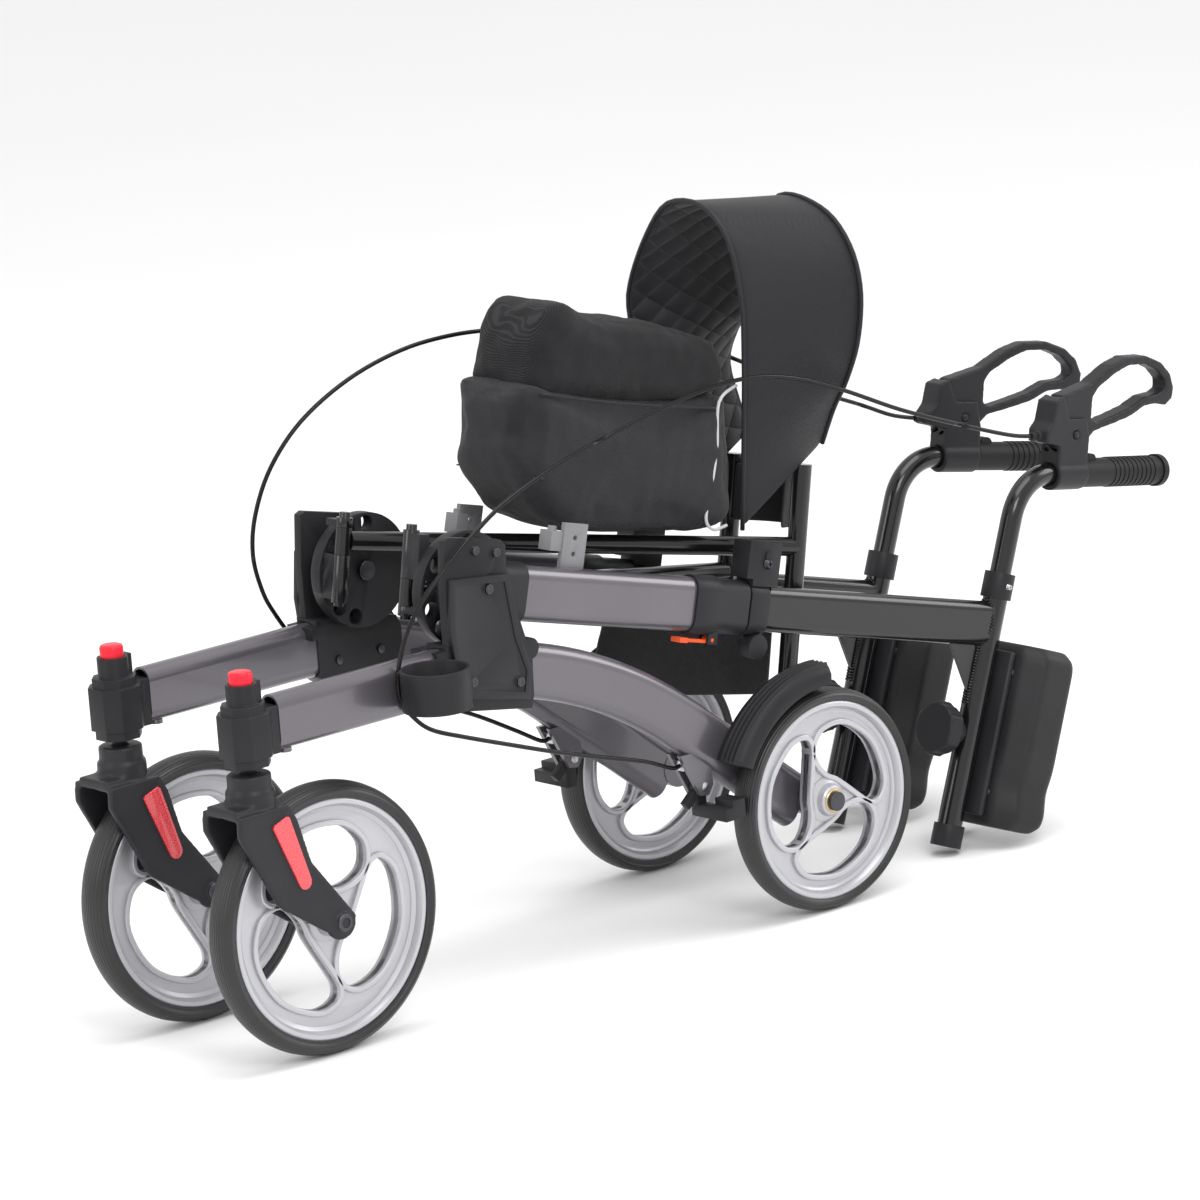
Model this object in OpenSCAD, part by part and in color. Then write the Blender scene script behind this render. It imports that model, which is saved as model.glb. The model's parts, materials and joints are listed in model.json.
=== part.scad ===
// Folding forearm walker, stored with its uprights laid back over the base.
// +X points to the front casters, +Y to the left side, +Z up; the origin is on
// the floor, at the middle of the length and of the width over the cup holder.

/* [Wheels] */
// Diameter of the front tyres
front_wheel_d = 300; // [270:1:330]
// Width of the front tyres
front_tyre_w = 38; // [32:1:42]
// Diameter of the rear tyres
rear_wheel_d = 254; // [230:1:280]
// Width of the rear tyres
rear_tyre_w = 35; // [28:1:38]
// Distance from the rear axle to the front axle
wheelbase = 698; // [640:1:760]
// Distance from a caster's swivel axis back to its wheel axle
trail = 84; // [60:1:95]

/* [Base frame] */
// Distance from the middle plane to each base tube
base_half = 111; // [108:1:130]
// Distance from the middle plane to each rear wheel
rear_half = 148; // [146:1:170]
// Height of the oval frame tubes
tube_h = 62; // [54:1:66]
// Width of the oval frame tubes
tube_w = 30; // [24:1:32]
// Wall of the frame tubes
tube_wall = 2.5; // [1.5:0.1:4]
// Height of the straight front run of the base tube, at its middle
arch_z = 377; // [365:1:390]
// Radius of the bend in the base tube
arch_r = 600; // [560:1:640]
// Slope of the base tube's rear run
arch_slope = 38.3; // [36:0.1:40]
// Where the bend starts, ahead of the rear axle
bend_x = 545; // [530:1:560]

/* [Uprights] */
// Distance from the middle plane to each upright
upright_half = 98; // [97:1:100]
// Fold pivot, ahead of the rear axle
pivot_x = 450; // [440:1:460]
// Height of the fold pivot
pivot_z = 458; // [455:1:475]
// Slope of the folded uprights, down to the rear
upright_slope = 14.8; // [12:0.1:16]
// Length of the outer upright tube
outer_len = 288; // [260:1:300]
// Distance from the fold pivot to the forearm tube
arm_reach = 799; // [700:1:900]
// Height of the inner upright tube
inner_h = 52; // [46:1:54]
// Width of the inner upright tube
inner_w = 24; // [18:1:24.4]

/* [Forearm support and handle] */
// Angle of the forearm tube to the square of the upright
arm_lean = 6.2; // [0:0.1:9]
// Outer diameter of the forearm tube
arm_d = 29; // [28.6:0.1:32]
// Length of the forearm tube below the upright
arm_drop = 262; // [200:1:264]
// Diameter of the handle tube
handle_d = 25; // [22:0.1:25]
// Height from the upright to the corner of the handle tube
handle_rise = 175; // [150:1:220]
// Toe-in of the handle
toe = 5.4; // [0:0.1:8]
// Length of the hand grip
grip_len = 146; // [120:1:146]
// Diameter of the hand grip
grip_d = 34; // [30:1:38]
// Length of the forearm pad
pad_len = 214; // [180:1:216]
// Width of the forearm pad
pad_w = 128; // [100:1:132]
// Depth of the forearm pad
pad_t = 88; // [70:1:95]

/* [Cross brace] */
// Half the distance between the two brace pivots
post_half = 57; // [55:1:60]
// Diameter of the brace tubes
brace_d = 22; // [18:0.5:23]
// Distance from the brace pivots to the seat rails, along the folded brace
brace_reach = 573; // [540:1:600]
// Height of each brace layer above or below the middle of the pivot posts
layer_h = 21; // [19:1:23]
// Length of the seat rails
rail_len = 270; // [240:1:290]

/* [Fittings] */
// Outer diameter of the cup holder
cup_d = 76; // [70:1:84]
// Height of the cup holder
cup_h = 45; // [35:1:60]
// Travel clearance round parts that slide in each other
slide_gap = 0.05; // [0.02:0.01:0.1]
// Running clearance of a pin in its hole
pin_gap = 0.05; // [0.02:0.01:0.1]

/* [Hidden] */
$fn = 48;
stem_x = wheelbase + trail;
mid_x = 97;
// The cup holder stands out further on the left than the axle bolt does on the right
axle_bolt_end = 25;
cup_gap = 2.5;
cup_y = base_half + tube_w / 2 + cup_gap + cup_d / 2;
mid_y = (cup_y + cup_d / 2 - rear_half - axle_bolt_end) / 2;
front_r = front_wheel_d / 2;
rear_r = rear_wheel_d / 2;
link_x = 498;
link_z = 482;
link_slope = 11;
axle_r = 6;
stem_r = 8;
handle_bend_r = 60;
handle_turn = 79.6;
handle_tangent = handle_bend_r * tan(handle_turn / 2);
clamp_x = 50;
grip_x = 104;
collar_end = 403;
black = [0.05, 0.05, 0.055];
dark_plastic = [0.13, 0.13, 0.14];
frame_grey = [0.36, 0.34, 0.37];
silver = [0.75, 0.75, 0.77];
signal_red = [0.85, 0.08, 0.1];

// Routes of the two brake cables, from the lever to the rear brake
left_route = [
    [-406.8, 97.6, 459], [-370, 100, 468], [-294, 101, 495], [-195, 109, 533], [-96, 119, 577],
    [-18, 123, 606], [56, 122, 618], [142, 118, 611], [264, 120, 590], [345, 125, 573],
    [421, 131, 550], [474, 136, 524], [518, 135, 493], [548, 130, 462], [568, 127.5, 431],
    [582, 129.3, 399], [582, 129.3, 368], [568, 131, 346], [548, 136, 328], [506, 139, 311],
    [440, 137, 287], [370, 130, 262], [300, 121, 239], [230, 114, 217], [190, 111, 200], [178, 111, 200]];
right_route = [
    [-406.8, -97.6, 459], [-370, -98, 470], [-321, -96, 492], [-237, -90, 528], [-123, -96, 587],
    [-31, -102, 635], [67, -100, 662], [140, -100, 674], [215, -92, 684], [290, -90, 691],
    [357, -98, 686], [425, -110, 665], [486, -122, 629], [528, -130, 584], [552, -134, 535],
    [558, -137, 490], [548, -139, 448], [533, -140, 419], [508, -140, 384], [466, -140, 344],
    [407, -138, 305], [339, -130, 275], [280, -121, 250], [225, -114, 220], [190, -111, 200], [178, -111, 200]];
cable_d = 5;

// ---- frames of reference ----
module left() translate([-mid_x, -mid_y, 0]) children();
module right() translate([-mid_x, -mid_y, 0]) mirror([0, 1, 0]) children();
module at_stem() translate([stem_x, base_half, 0]) children();
module at_front_axle() at_stem() translate([-trail, 0, front_r]) children();
module at_rear_axle() translate([0, rear_half, rear_r]) children();
module at_upright() translate([pivot_x, upright_half, pivot_z]) rotate([0, -upright_slope, 0]) children();
module at_arm() at_upright() translate([-arm_reach, 0, 0]) rotate([0, -arm_lean, 0]) children();
module at_handle() at_arm() rotate([0, 0, toe]) translate([0, 0, handle_rise])
    rotate([0, 90 - handle_turn, 0]) children();
module at_link() translate([link_x, 0, link_z]) rotate([0, -link_slope, 0]) children();

// ---- helpers ----
// A cylinder along Y from y0 to y1
module y_rod(r, y0, y1) translate([0, y0, 0]) rotate([-90, 0, 0]) cylinder(r = r, h = y1 - y0);
// A cylinder along X from x0 to x1
module x_rod(r, x0, x1) translate([x0, 0, 0]) rotate([0, 90, 0]) cylinder(r = r, h = x1 - x0);
// A plate in the XZ plane between y0 and y1
module y_plate(y0, y1) translate([0, y1, 0]) rotate([90, 0, 0]) linear_extrude(y1 - y0) children();
// An oval outline, w wide and h tall
module oval(w, h) {
    square([w, h - w], center = true);
    for (s = [-1, 1]) translate([0, s * (h - w) / 2]) circle(d = w);
}
// An oval bar along -X, from distance a to distance b
module oval_bar(w, h, a, b) translate([-b, 0, 0]) rotate([90, 0, 90]) linear_extrude(b - a) oval(w, h);
// An oval tube along -X
module oval_tube(w, h, wall, a, b) difference() {
    oval_bar(w, h, a, b);
    oval_bar(w - 2 * wall, h - 2 * wall, a - 1, b + 1);
}
// A button-head screw along +Y with its seat at y = 0
module y_screw(r, depth) {
    y_rod(r, -depth, 0);
    y_rod(1.8 * r, 0, r);
}
function unit(v) = v / norm(v);
function along(p, i) = unit(p[min(i + 1, len(p) - 1)] - p[max(i - 1, 0)]);
function ring(c, d, r, n) = let(s = unit(cross(d, [0.1, 1, 0.2])), u = cross(s, d))
    [for (k = [0:n - 1]) c + r * (cos(360 * k / n) * s + sin(360 * k / n) * u)];
// A round cord of diameter d along the points p
module cord(p, d, n = 8) {
    m = len(p);
    points = [for (i = [0:m - 1]) each ring(p[i], along(p, i), d / 2, n)];
    ends = [[for (k = [n - 1:-1:0]) k], [for (k = [0:n - 1]) (m - 1) * n + k]];
    walls = [for (i = [0:m - 2]) for (k = [0:n - 1]) let(j = (k + 1) % n)
        each [[i * n + k, i * n + j, (i + 1) * n + j], [i * n + k, (i + 1) * n + j, (i + 1) * n + k]]];
    polyhedron(points = points, faces = concat(ends, walls), convexity = 8);
}

// ---- wheels ----
rim_drop = 18;
spoke_count = 3;
spoke_half = 15;
spoke_twist = 62;
window_steps = 7;
function polar(r, a) = [r * cos(a), r * sin(a)];
// The opening between two swirled spokes of a rim, between two radii
module rim_window(r_in, r_out) {
    edge = function (r, side) spoke_twist * (r - r_in) / (r_out - r_in) + side * asin(spoke_half / r);
    rr = function (i) r_in + (r_out - r_in) * i / window_steps;
    pitch = 360 / spoke_count;
    span = function (r) [edge(r, 1), pitch + edge(r, -1)];
    arc = function (r, k) polar(r, span(r)[0] + (span(r)[1] - span(r)[0]) * k / window_steps);
    polygon([
        for (i = [0:window_steps]) polar(rr(i), span(rr(i))[0]),
        for (k = [1:window_steps]) arc(r_out, k),
        for (i = [window_steps - 1:-1:0]) polar(rr(i), span(rr(i))[1]),
        for (k = [window_steps - 1:-1:1]) arc(r_in, k)]);
}
// A rim with its axis on Y, outer radius r, width w; the hub is hub_w long
module rim(r, w, hub_w) difference() {
    union() {
        rotate([90, 0, 0]) rotate_extrude() polygon([
            [r, -w / 2], [r, w / 2], [r - 5, w / 2], [r - 9, w / 2 - 6], [r - 12, w / 2 - 6],
            [r - 15, 6], [r - 15, -6], [r - 12, 6 - w / 2], [r - 9, 6 - w / 2], [r - 5, -w / 2]]);
        difference() {
            y_rod(r - 14, -6, 6);
            for (i = [0:spoke_count - 1]) rotate([0, i * 360 / spoke_count, 0])
                y_plate(-8, 8) rim_window(38, r - 22);
        }
        y_rod(22, -hub_w / 2, hub_w / 2);
    }
    y_rod(axle_r + pin_gap, -hub_w, hub_w);
}
// A tyre with its axis on Y, seated on a rim of radius r_rim
module tyre(r, r_rim, w) {
    crown = r - r_rim;
    rotate([90, 0, 0]) rotate_extrude() polygon([
        [r_rim, -w / 2 + 3], for (a = [-75:15:75]) [r_rim + 4 + (crown - 4) * cos(a), w / 2 * sin(a) / sin(75)],
        [r_rim, w / 2 - 3]]);
}
module front_rim() color(silver) at_front_axle() rim(front_r - rim_drop, front_tyre_w - 8, 46);
module front_tyre() color(black) at_front_axle() tyre(front_r, front_r - rim_drop, front_tyre_w);
module rear_rim() color(silver) at_rear_axle() rim(rear_r - 14, rear_tyre_w - 7, 38);
module rear_tyre() color(black) at_rear_axle() tyre(rear_r, rear_r - 14, rear_tyre_w);

// ---- casters ----
crown_z = front_r + 135;
fork_in = front_tyre_w / 2 + 6;
fork_t = 8;
fork_out = fork_in + fork_t;
collar_top = crown_z + 47;
stem_top = collar_top + 80;
// The flat outline of one fork arm, seen from the side
module fork_arm() polygon([
    [42, crown_z + 8], [44, crown_z - 14], [-2, crown_z - 100], [-trail + 22, front_r - 6],
    for (a = [-20:-20:-160]) [-trail + 20 * cos(a), front_r + 20 * sin(a)],
    [-trail - 20, front_r + 4], [-50, crown_z - 60], [-36, crown_z - 10], [-26, crown_z + 8]]);
reflector_z = front_r + 90;
module reflector() translate([-24, fork_out, reflector_z]) rotate([0, 20, 0])
    y_plate(0, 2) {
        polygon([[-9, 42], [9, 42], [6, -34], [-6, -34]]);
        translate([0, -34]) circle(r = 6);
    }
module caster_fork() {
    color(dark_plastic) at_stem() {
        for (s = [-1, 1]) mirror([0, s < 0 ? 1 : 0, 0]) y_plate(fork_in, fork_out) fork_arm();
        difference() {
            union() {
                translate([-12, -fork_in, crown_z + 2]) cube([54, 2 * fork_in, 12]);
                translate([0, 0, crown_z + 8]) cylinder(r = 27, h = 19);
                translate([0, 0, crown_z + 27]) cylinder(r = 24, h = 18);
            }
            translate([30, 0, crown_z - 7]) cylinder(r = 9, h = 15);
        }
        translate([0, 0, crown_z + 40]) cylinder(r = stem_r, h = stem_top - crown_z - 40);
    }
    color(signal_red) at_stem() for (s = [-1, 1]) mirror([0, s < 0 ? 1 : 0, 0]) reflector();
    color(silver) at_front_axle() {
        y_rod(axle_r, -fork_in, fork_in);
        for (s = [-1, 1]) mirror([0, s < 0 ? 1 : 0, 0]) y_rod(10, fork_out, fork_out + 5);
    }
}
// The block at the front end of the base tube, with the socket for the caster's stem
housing_z0 = collar_top + 6;
block_w = 54;
block_h = 68;
sleeve_h = 22;
sleeve_top = housing_z0 + block_h + sleeve_h;
button_r = 13;
button_h = 20;
button_travel = 4;
button_z = sleeve_top - button_travel - 3;
module block_outline(w, corner) {
    a = w / 2;
    b = a - corner;
    polygon([[a, -b], [a, b], [b, a], [-b, a], [-a, b], [-a, -b], [-b, -a], [b, -a]]);
}
module stem_housing() color(dark_plastic) at_stem() difference() {
    union() {
        translate([0, 0, housing_z0]) linear_extrude(10) block_outline(block_w - 6, 14);
        translate([0, 0, housing_z0 + 10]) linear_extrude(block_h - 20) block_outline(block_w, 14);
        translate([0, 0, housing_z0 + block_h - 10]) linear_extrude(10) block_outline(block_w - 8, 13);
        translate([0, 0, housing_z0 + block_h]) cylinder(r = button_r + 4, h = sleeve_h);
        translate([-22, -6, housing_z0 + block_h]) cube([12, 12, sleeve_h]);
        translate([-36, -tube_w / 2 + 0.5, housing_z0 + 8]) cube([22, tube_w - 1, block_h - 16]);
    }
    translate([0, 0, housing_z0 - 1]) cylinder(r = stem_r + pin_gap, h = block_h + sleeve_h);
    translate([0, 0, button_z - button_travel]) cylinder(r = button_r + 0.2, h = sleeve_h);
}
module stem_button() color(signal_red) at_stem() translate([0, 0, button_z])
    cylinder(r = button_r, h = button_h);

// ---- base frame ----
arch_end = 205;
arch_start = stem_x - 36;
tuck = 0.1;
// The outline of a tube wall: an oval with an oval hole, or a solid oval when the wall is 0
module oval_wall(w, h, wall) difference() {
    oval(w, h);
    if (wall > 0) oval(w - 2 * wall, h - 2 * wall);
}
// The bend of the base tube; its ends tuck inside the straight runs
module arch_bend(w, h, wall) translate([bend_x, 0, arch_z - arch_r]) rotate([90, 0, 0])
    rotate([0, 0, 90 - tuck]) rotate_extrude(angle = arch_slope + 2 * tuck)
    translate([arch_r, 0]) rotate(90) oval_wall(w, h, wall);
module arch_front_run() translate([bend_x, 0, arch_z]) rotate([90, 0, 90])
    linear_extrude(arch_start - bend_x) oval_wall(tube_w, tube_h, tube_wall);
module arch_rear_run() translate([bend_x - arch_r * sin(arch_slope), 0, arch_z - arch_r * (1 - cos(arch_slope))])
    rotate([0, -arch_slope, 0]) translate([-arch_end, 0, 0]) rotate([90, 0, 90])
    linear_extrude(arch_end) oval_wall(tube_w, tube_h, tube_wall);
module at_base() translate([0, base_half, 0]) children();
// Where the brake arm pivots, below the rear run of the base tube
brake_x = 152;
brake_z = 172;
module brake_ears() at_base() for (y = [-12, 6])
    y_plate(y, y + 6) difference() {
        polygon([
            [brake_x - 12, brake_z], [brake_x - 4, brake_z - 11], [brake_x + 8, brake_z - 9],
            [brake_x + 34, brake_z + 42], [brake_x - 8, brake_z + 42]]);
        translate([brake_x, brake_z]) circle(r = 5);
    }
axle_boss_r = 22;
module arch_tube() color(frame_grey) difference() {
    union() {
        at_base() {
            arch_front_run();
            arch_bend(tube_w - tuck, tube_h - tuck, tube_wall - tuck);
            arch_rear_run();
            translate([arch_start - 16, 0, arch_z - tube_h / 2 - 4]) cylinder(r = 7, h = 5);
        }
        brake_ears();
        at_rear_axle() rotate([0, -arch_slope, 0])
            y_rod(axle_boss_r, base_half - rear_half - tube_w / 2 - 1, base_half - rear_half + tube_w / 2 + 1);
    }
    at_rear_axle() y_rod(axle_r, base_half - rear_half, 30);
}

// ---- fold hinge on the base ----
boss_r = 44;
disc_r = 64;
disc_y0 = 79;
disc_y1 = 94;
saddle_y0 = base_half - tube_w / 2 - 1.5;
saddle_y1 = base_half + tube_w / 2 + 2;
plate_y0 = upright_half + tube_w / 2 + 4;
plate_y1 = saddle_y1;
cover_t = 6;
module hinge_bracket() color(dark_plastic) difference() {
    union() {
        y_plate(saddle_y0, saddle_y1) polygon([
            [394, 332], [398, 318], [500, 336], [512, 346], [512, 411], [440, 404], [398, 394], [392, 380]]);
        y_plate(plate_y0, plate_y1) polygon([
            [398, 392], [508, 400], [508, 470], [503, 526], [496, 529], [424, 512], [418, 505], [420, 470]]);
        translate([506, disc_y0 + 5, 392]) cube([20, saddle_y1 - disc_y0 - 5, 14]);
        y_plate(plate_y0, plate_y1) translate([394, 384]) circle(r = 12);
    }
    at_base() arch_bend(tube_w + 0.4, tube_h + 0.4, 0);
    translate([pivot_x, 0, pivot_z]) y_rod(axle_r + pin_gap, 100, 140);
}
module hinge_cover() color(dark_plastic) difference() {
    y_plate(saddle_y1, saddle_y1 + cover_t) polygon([
        [503, 484], [509, 431], [505, 390], [495, 350], [404, 330], [398, 362], [411, 402], [421, 474]]);
    y_plate(saddle_y1 + cover_t - 2, saddle_y1 + cover_t + 1) polygon([
        [495, 476], [500, 431], [496, 390], [487, 357], [411, 340], [406, 362], [419, 402], [428, 467]]);
    for (p = cover_screws) translate([p[0], 0, p[1]]) y_rod(3.1, saddle_y1 - 1, saddle_y1 + cover_t + 1);
}
cover_screws = [[450, pivot_z + 5], [416, 352], [482, 366]];
module frame_fasteners() color(silver) {
    for (p = cover_screws) translate([p[0], saddle_y1 + cover_t - 2, p[1]]) y_screw(3, cover_t - 2);
    for (p = [[462, 508], [433, 500]]) translate([p[0], plate_y1, p[1]]) y_rod(5, 0, 3.5);
    for (x = [424, 484]) translate([x, saddle_y0, 361]) mirror([0, 1, 0]) y_rod(5, 0, 3);
    translate([pivot_x, 0, pivot_z]) {
        y_rod(axle_r, disc_y0 - 3, plate_y1 - 1);
        y_rod(11, disc_y0 - 6.2, disc_y0 - 0.2);
    }
    at_rear_axle() {
        y_rod(axle_r, base_half - rear_half, 21);
        y_rod(11, 19.5, axle_bolt_end);
    }
    at_base() translate([brake_x, 0, brake_z]) {
        y_rod(5, -13, 13);
        // The stop that ends the cable's jacket, between the two ears
        translate([18, -6, 22]) cube([8, 12, 12]);
    }
}
// Ribbed guard over the front of the rear wheel, fixed to the base tube
fender_in = rear_r + 6;
fender_side = rear_half - base_half - tube_w / 2;
module fender() color(dark_plastic) at_rear_axle() rotate([90, 0, 0]) rotate([0, 0, 28])
    rotate_extrude(angle = 66) polygon([
        [fender_in, -18], [fender_in + 12, -18], [fender_in + 20, -14],
        for (k = [0:3]) each [[fender_in + 21, 7 * k - 12], [fender_in + 25, 7 * k - 10.5],
            [fender_in + 25, 7 * k - 8], [fender_in + 21, 7 * k - 6.5]],
        [fender_in + 21, fender_side], [fender_in, fender_side]]);

// ---- rear brakes ----
module brake_arm() color(dark_plastic) at_base() translate([brake_x, 0, brake_z]) difference() {
    union() {
        y_rod(10, -5.5, 5.5);
        translate([-6, -5, -30]) cube([14, 10, 32]);
        translate([-6, -5, -34]) cube([14, rear_half - base_half + 20, 14]);
        translate([-21.5, rear_half - base_half - 15, -34]) cube([18, 30, 22]);
        translate([0, -4, 0]) rotate([0, 40, 0]) translate([0, 0, -6]) cube([30, 8, 10]);
    }
    y_rod(5 + pin_gap, -30, 30);
}

// ---- uprights ----
window_r = 9;
module upright_fitting(layer) color(black) {
    difference() {
        union() {
            translate([pivot_x, 0, pivot_z]) {
                y_rod(disc_r, disc_y0, disc_y1);
                y_rod(boss_r, disc_y0, plate_y0 - 0.4);
            }
            at_upright() oval_bar(tube_w + 6, tube_h + 6, 20, 70);
        }
        translate([pivot_x, 0, pivot_z]) {
            y_rod(axle_r + pin_gap, 60, 140);
            for (a = [-70:28:98]) rotate([0, -a, 0]) translate([52, 0, 0]) y_rod(window_r, disc_y0 - 1, disc_y1 + 1);
        }
        at_upright() oval_bar(tube_w, tube_h, 42, 80);
    }
    post_body(layer);
}
// The pivot post beside the fitting, open at the layer where the brace bar's eye turns.
// The upper bar turns on the bolt; the lower bar's eye hangs free between the sleeves.
post_r = 9;
post_h = 94;
eye_h = 30;
eye_gap = 0.4;
module post_body(layer) at_link() translate([0, post_half, 0]) {
    difference() {
        union() {
            translate([0, 0, -post_h / 2]) cylinder(r = post_r, h = post_h);
            translate([0, 0, -post_h / 2 - 4]) cylinder(r = 6, h = post_h + 10);
            translate([-7, 0, -post_h / 2 + 3]) cube([14, disc_y0 - post_half + 1, post_h - 6]);
        }
        translate([0, 0, layer * layer_h - eye_h / 2 - eye_gap]) cylinder(r = 40, h = eye_h + 2 * eye_gap);
    }
    if (layer > 0) translate([0, 0, -eye_h]) cylinder(r = 5, h = 2 * eye_h + layer_h);
}
module outer_tube() color(frame_grey) at_upright() oval_tube(tube_w, tube_h, tube_wall, 42, 42 + outer_len);
lever_pin_r = 2.5;
module at_height_lever() translate([-72 - outer_len, 0, -tube_h / 2 - 7]) children();
module tube_collar() color(dark_plastic) at_upright() difference() {
    union() {
        oval_bar(tube_w + 6, tube_h + 5, 34 + outer_len, 46 + outer_len + 24);
        oval_bar(tube_w + 2, tube_h, 60 + outer_len, collar_end);
        at_height_lever() translate([-7, -9, -5]) cube([14, 18, 16]);
    }
    oval_bar(tube_w, tube_h, 0, 42 + outer_len);
    oval_bar(inner_w + 4 * slide_gap, inner_h + 4 * slide_gap, 0, collar_end + 5);
    at_height_lever() {
        y_rod(lever_pin_r + pin_gap, -20, 20);
        translate([-8, -6, -6]) cube([16, 12, 11.5]);
    }
}
module height_lever() color([0.9, 0.25, 0.08]) at_upright() at_height_lever() {
    y_rod(4.5, -5.5, 5.5);
    y_rod(lever_pin_r, -8.5, 8.5);
    translate([0, -5.5, -4]) cube([44, 11, 4]);
    translate([36, -8, -5]) cube([12, 16, 6]);
}
catch_at = 134;
catch_y0 = -12;
module seat_catch() color([0.5, 0.5, 0.52]) at_upright() difference() {
    union() {
        translate([-catch_at - 34, catch_y0, 20]) cube([34, 6, 60]);
        translate([-catch_at, catch_y0 - 16, 48]) cube([16, 20, 22]);
        translate([-catch_at + 8, catch_y0 - 6, 70]) cylinder(r = 5, h = 5);
    }
    oval_bar(tube_w, tube_h, 0, 300);
    for (z = [46, 64]) translate([-catch_at - 17, 0, z]) y_rod(2.8, catch_y0 - 1, catch_y0 + 7);
}
module arm_frame() color(black) difference() {
    union() {
        at_upright() oval_tube(inner_w, inner_h, 2, 150, arm_reach - 4);
        at_arm() translate([0, 0, 8 - arm_drop]) cylinder(d = arm_d, h = arm_drop + 34);
        at_arm() y_plate(-2, 2) polygon([[0, -20], [60, -30], [0, -100]]);
    }
    at_arm() translate([0, 0, -arm_drop]) cylinder(r = handle_d / 2 + pin_gap, h = arm_drop + 60);
}
clamp_t0 = 406;
module upright_trim() {
    color(dark_plastic) at_upright() difference() {
        union() {
            oval_bar(inner_w + 8, inner_h + 8, clamp_t0, clamp_t0 + 28);
            translate([-clamp_t0 - 38, -14, inner_h / 2]) cube([38, 28, 50]);
            translate([-clamp_t0 - 38, -14, tube_h / 2 + 3]) cube([48, 28, 42]);
            translate([-clamp_t0 - 20, 14, -inner_h / 2 - 16]) y_rod(14, -20, 0);
            translate([-clamp_t0 - 20, 0, inner_h / 2 + 34]) y_rod(7, 12, 17);
        }
        oval_bar(inner_w, inner_h, 300, 500);
    }
    color(dark_plastic) at_arm() difference() {
        union() {
            translate([0, 0, -arm_drop]) cylinder(r = arm_d / 2 + 3.5, h = 26);
            translate([0, 0, 30]) cylinder(r = arm_d / 2 + 3.5, h = 30);
        }
        translate([0, 0, 8 - arm_drop]) cylinder(d = arm_d, h = arm_drop + 34);
        cylinder(r = handle_d / 2 + pin_gap, h = 90);
    }
}

// ---- forearm pad, handle and brake lever ----
pad_z0 = -16;
module pad_outline() polygon([
    [-arm_d / 2 - 8, -pad_w / 2 + 22], [-arm_d / 2 - 30, -pad_w / 2],
    [-arm_d / 2 - pad_t + 14, -pad_w / 2], [-arm_d / 2 - pad_t, -pad_w / 2 + 14],
    for (a = [-80:20:80]) [-arm_d / 2 - pad_t + 46 * cos(a) - 4, 44 * sin(a)],
    [-arm_d / 2 - pad_t, pad_w / 2 - 14], [-arm_d / 2 - pad_t + 14, pad_w / 2],
    [-arm_d / 2 - 30, pad_w / 2], [-arm_d / 2 - 8, pad_w / 2 - 22]]);
module forearm_pad() {
    color(black) at_arm() translate([0, 0, pad_z0 - pad_len]) linear_extrude(pad_len) pad_outline();
    color(dark_plastic) at_arm() difference() {
        translate([-arm_d / 2 - 8, -28, pad_z0 - pad_len + 14]) cube([8.2, 56, pad_len - 28]);
        translate([0, 0, 8 - arm_drop]) cylinder(d = arm_d, h = arm_drop + 34);
    }
}
knob_z = -130;
module pad_knob() color(dark_plastic) at_arm() translate([0, 0, knob_z]) {
    x_rod(13, arm_d / 2 + 0.3, 38);
    x_rod(29, 36, 58);
    for (a = [0:60:300]) rotate([a, 0, 0]) translate([0, 0, 26]) x_rod(6, 38, 56);
}
// The bend of the handle tube; its ends tuck inside the straight runs
module handle_bend() translate([-handle_bend_r, 0, handle_rise - handle_tangent]) rotate([90, 0, 0])
    rotate([0, 0, -1]) rotate_extrude(angle = handle_turn + 2)
    translate([handle_bend_r, 0]) circle(d = handle_d - tuck);
module handle_tube() color(black) at_arm() rotate([0, 0, toe]) difference() {
    union() {
        translate([0, 0, -90]) cylinder(d = handle_d, h = handle_rise - handle_tangent + 90);
        handle_bend();
        translate([0, 0, handle_rise]) rotate([0, 90 - handle_turn, 0])
            x_rod(handle_d / 2, -grip_x - grip_len + 6, -handle_tangent);
    }
    translate([0, 0, -91]) cylinder(d = handle_d - 4, h = 140);
}
module grip() color(black) at_handle() difference() {
    union() {
        x_rod(grip_d / 2, -grip_x - grip_len, -grip_x);
        x_rod(grip_d / 2 + 2, -grip_x - grip_len, -grip_x - grip_len + 8);
        for (k = [0:9]) x_rod(grip_d / 2 + 0.8, -grip_x - 126 + 8 * k, -grip_x - 122 + 8 * k);
        translate([-grip_x - 16, 0, grip_d / 2 - 2]) y_rod(8, -6, 6);
    }
    x_rod(handle_d / 2, -grip_x - grip_len + 6, 0);
}
lever_x = -78;
lever_z = 47;
module brake_housing() color(dark_plastic) at_handle() difference() {
    union() {
        x_rod(19, -grip_x + 1, -clamp_x);
        y_plate(-15, 15) polygon([
            [-clamp_x, 0], [-clamp_x, 34], [-26, 38], [-26, 52], [-34, 62], [-38, 86], [-52, 92],
            [-64, 66], [-96, 66], [-104 + 1, 40], [-104 + 1, 0]]);
        translate([-14, 0, 45]) x_rod(5, -14, 0);
    }
    x_rod(handle_d / 2, -300, 100);
    y_plate(-11.4, 11.4) polygon([[-51, 26], [-51, 100], [-130, 100], [-130, 26]]);
    translate([lever_x, 0, lever_z]) y_rod(5 + pin_gap, -20, 20);
}
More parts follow.
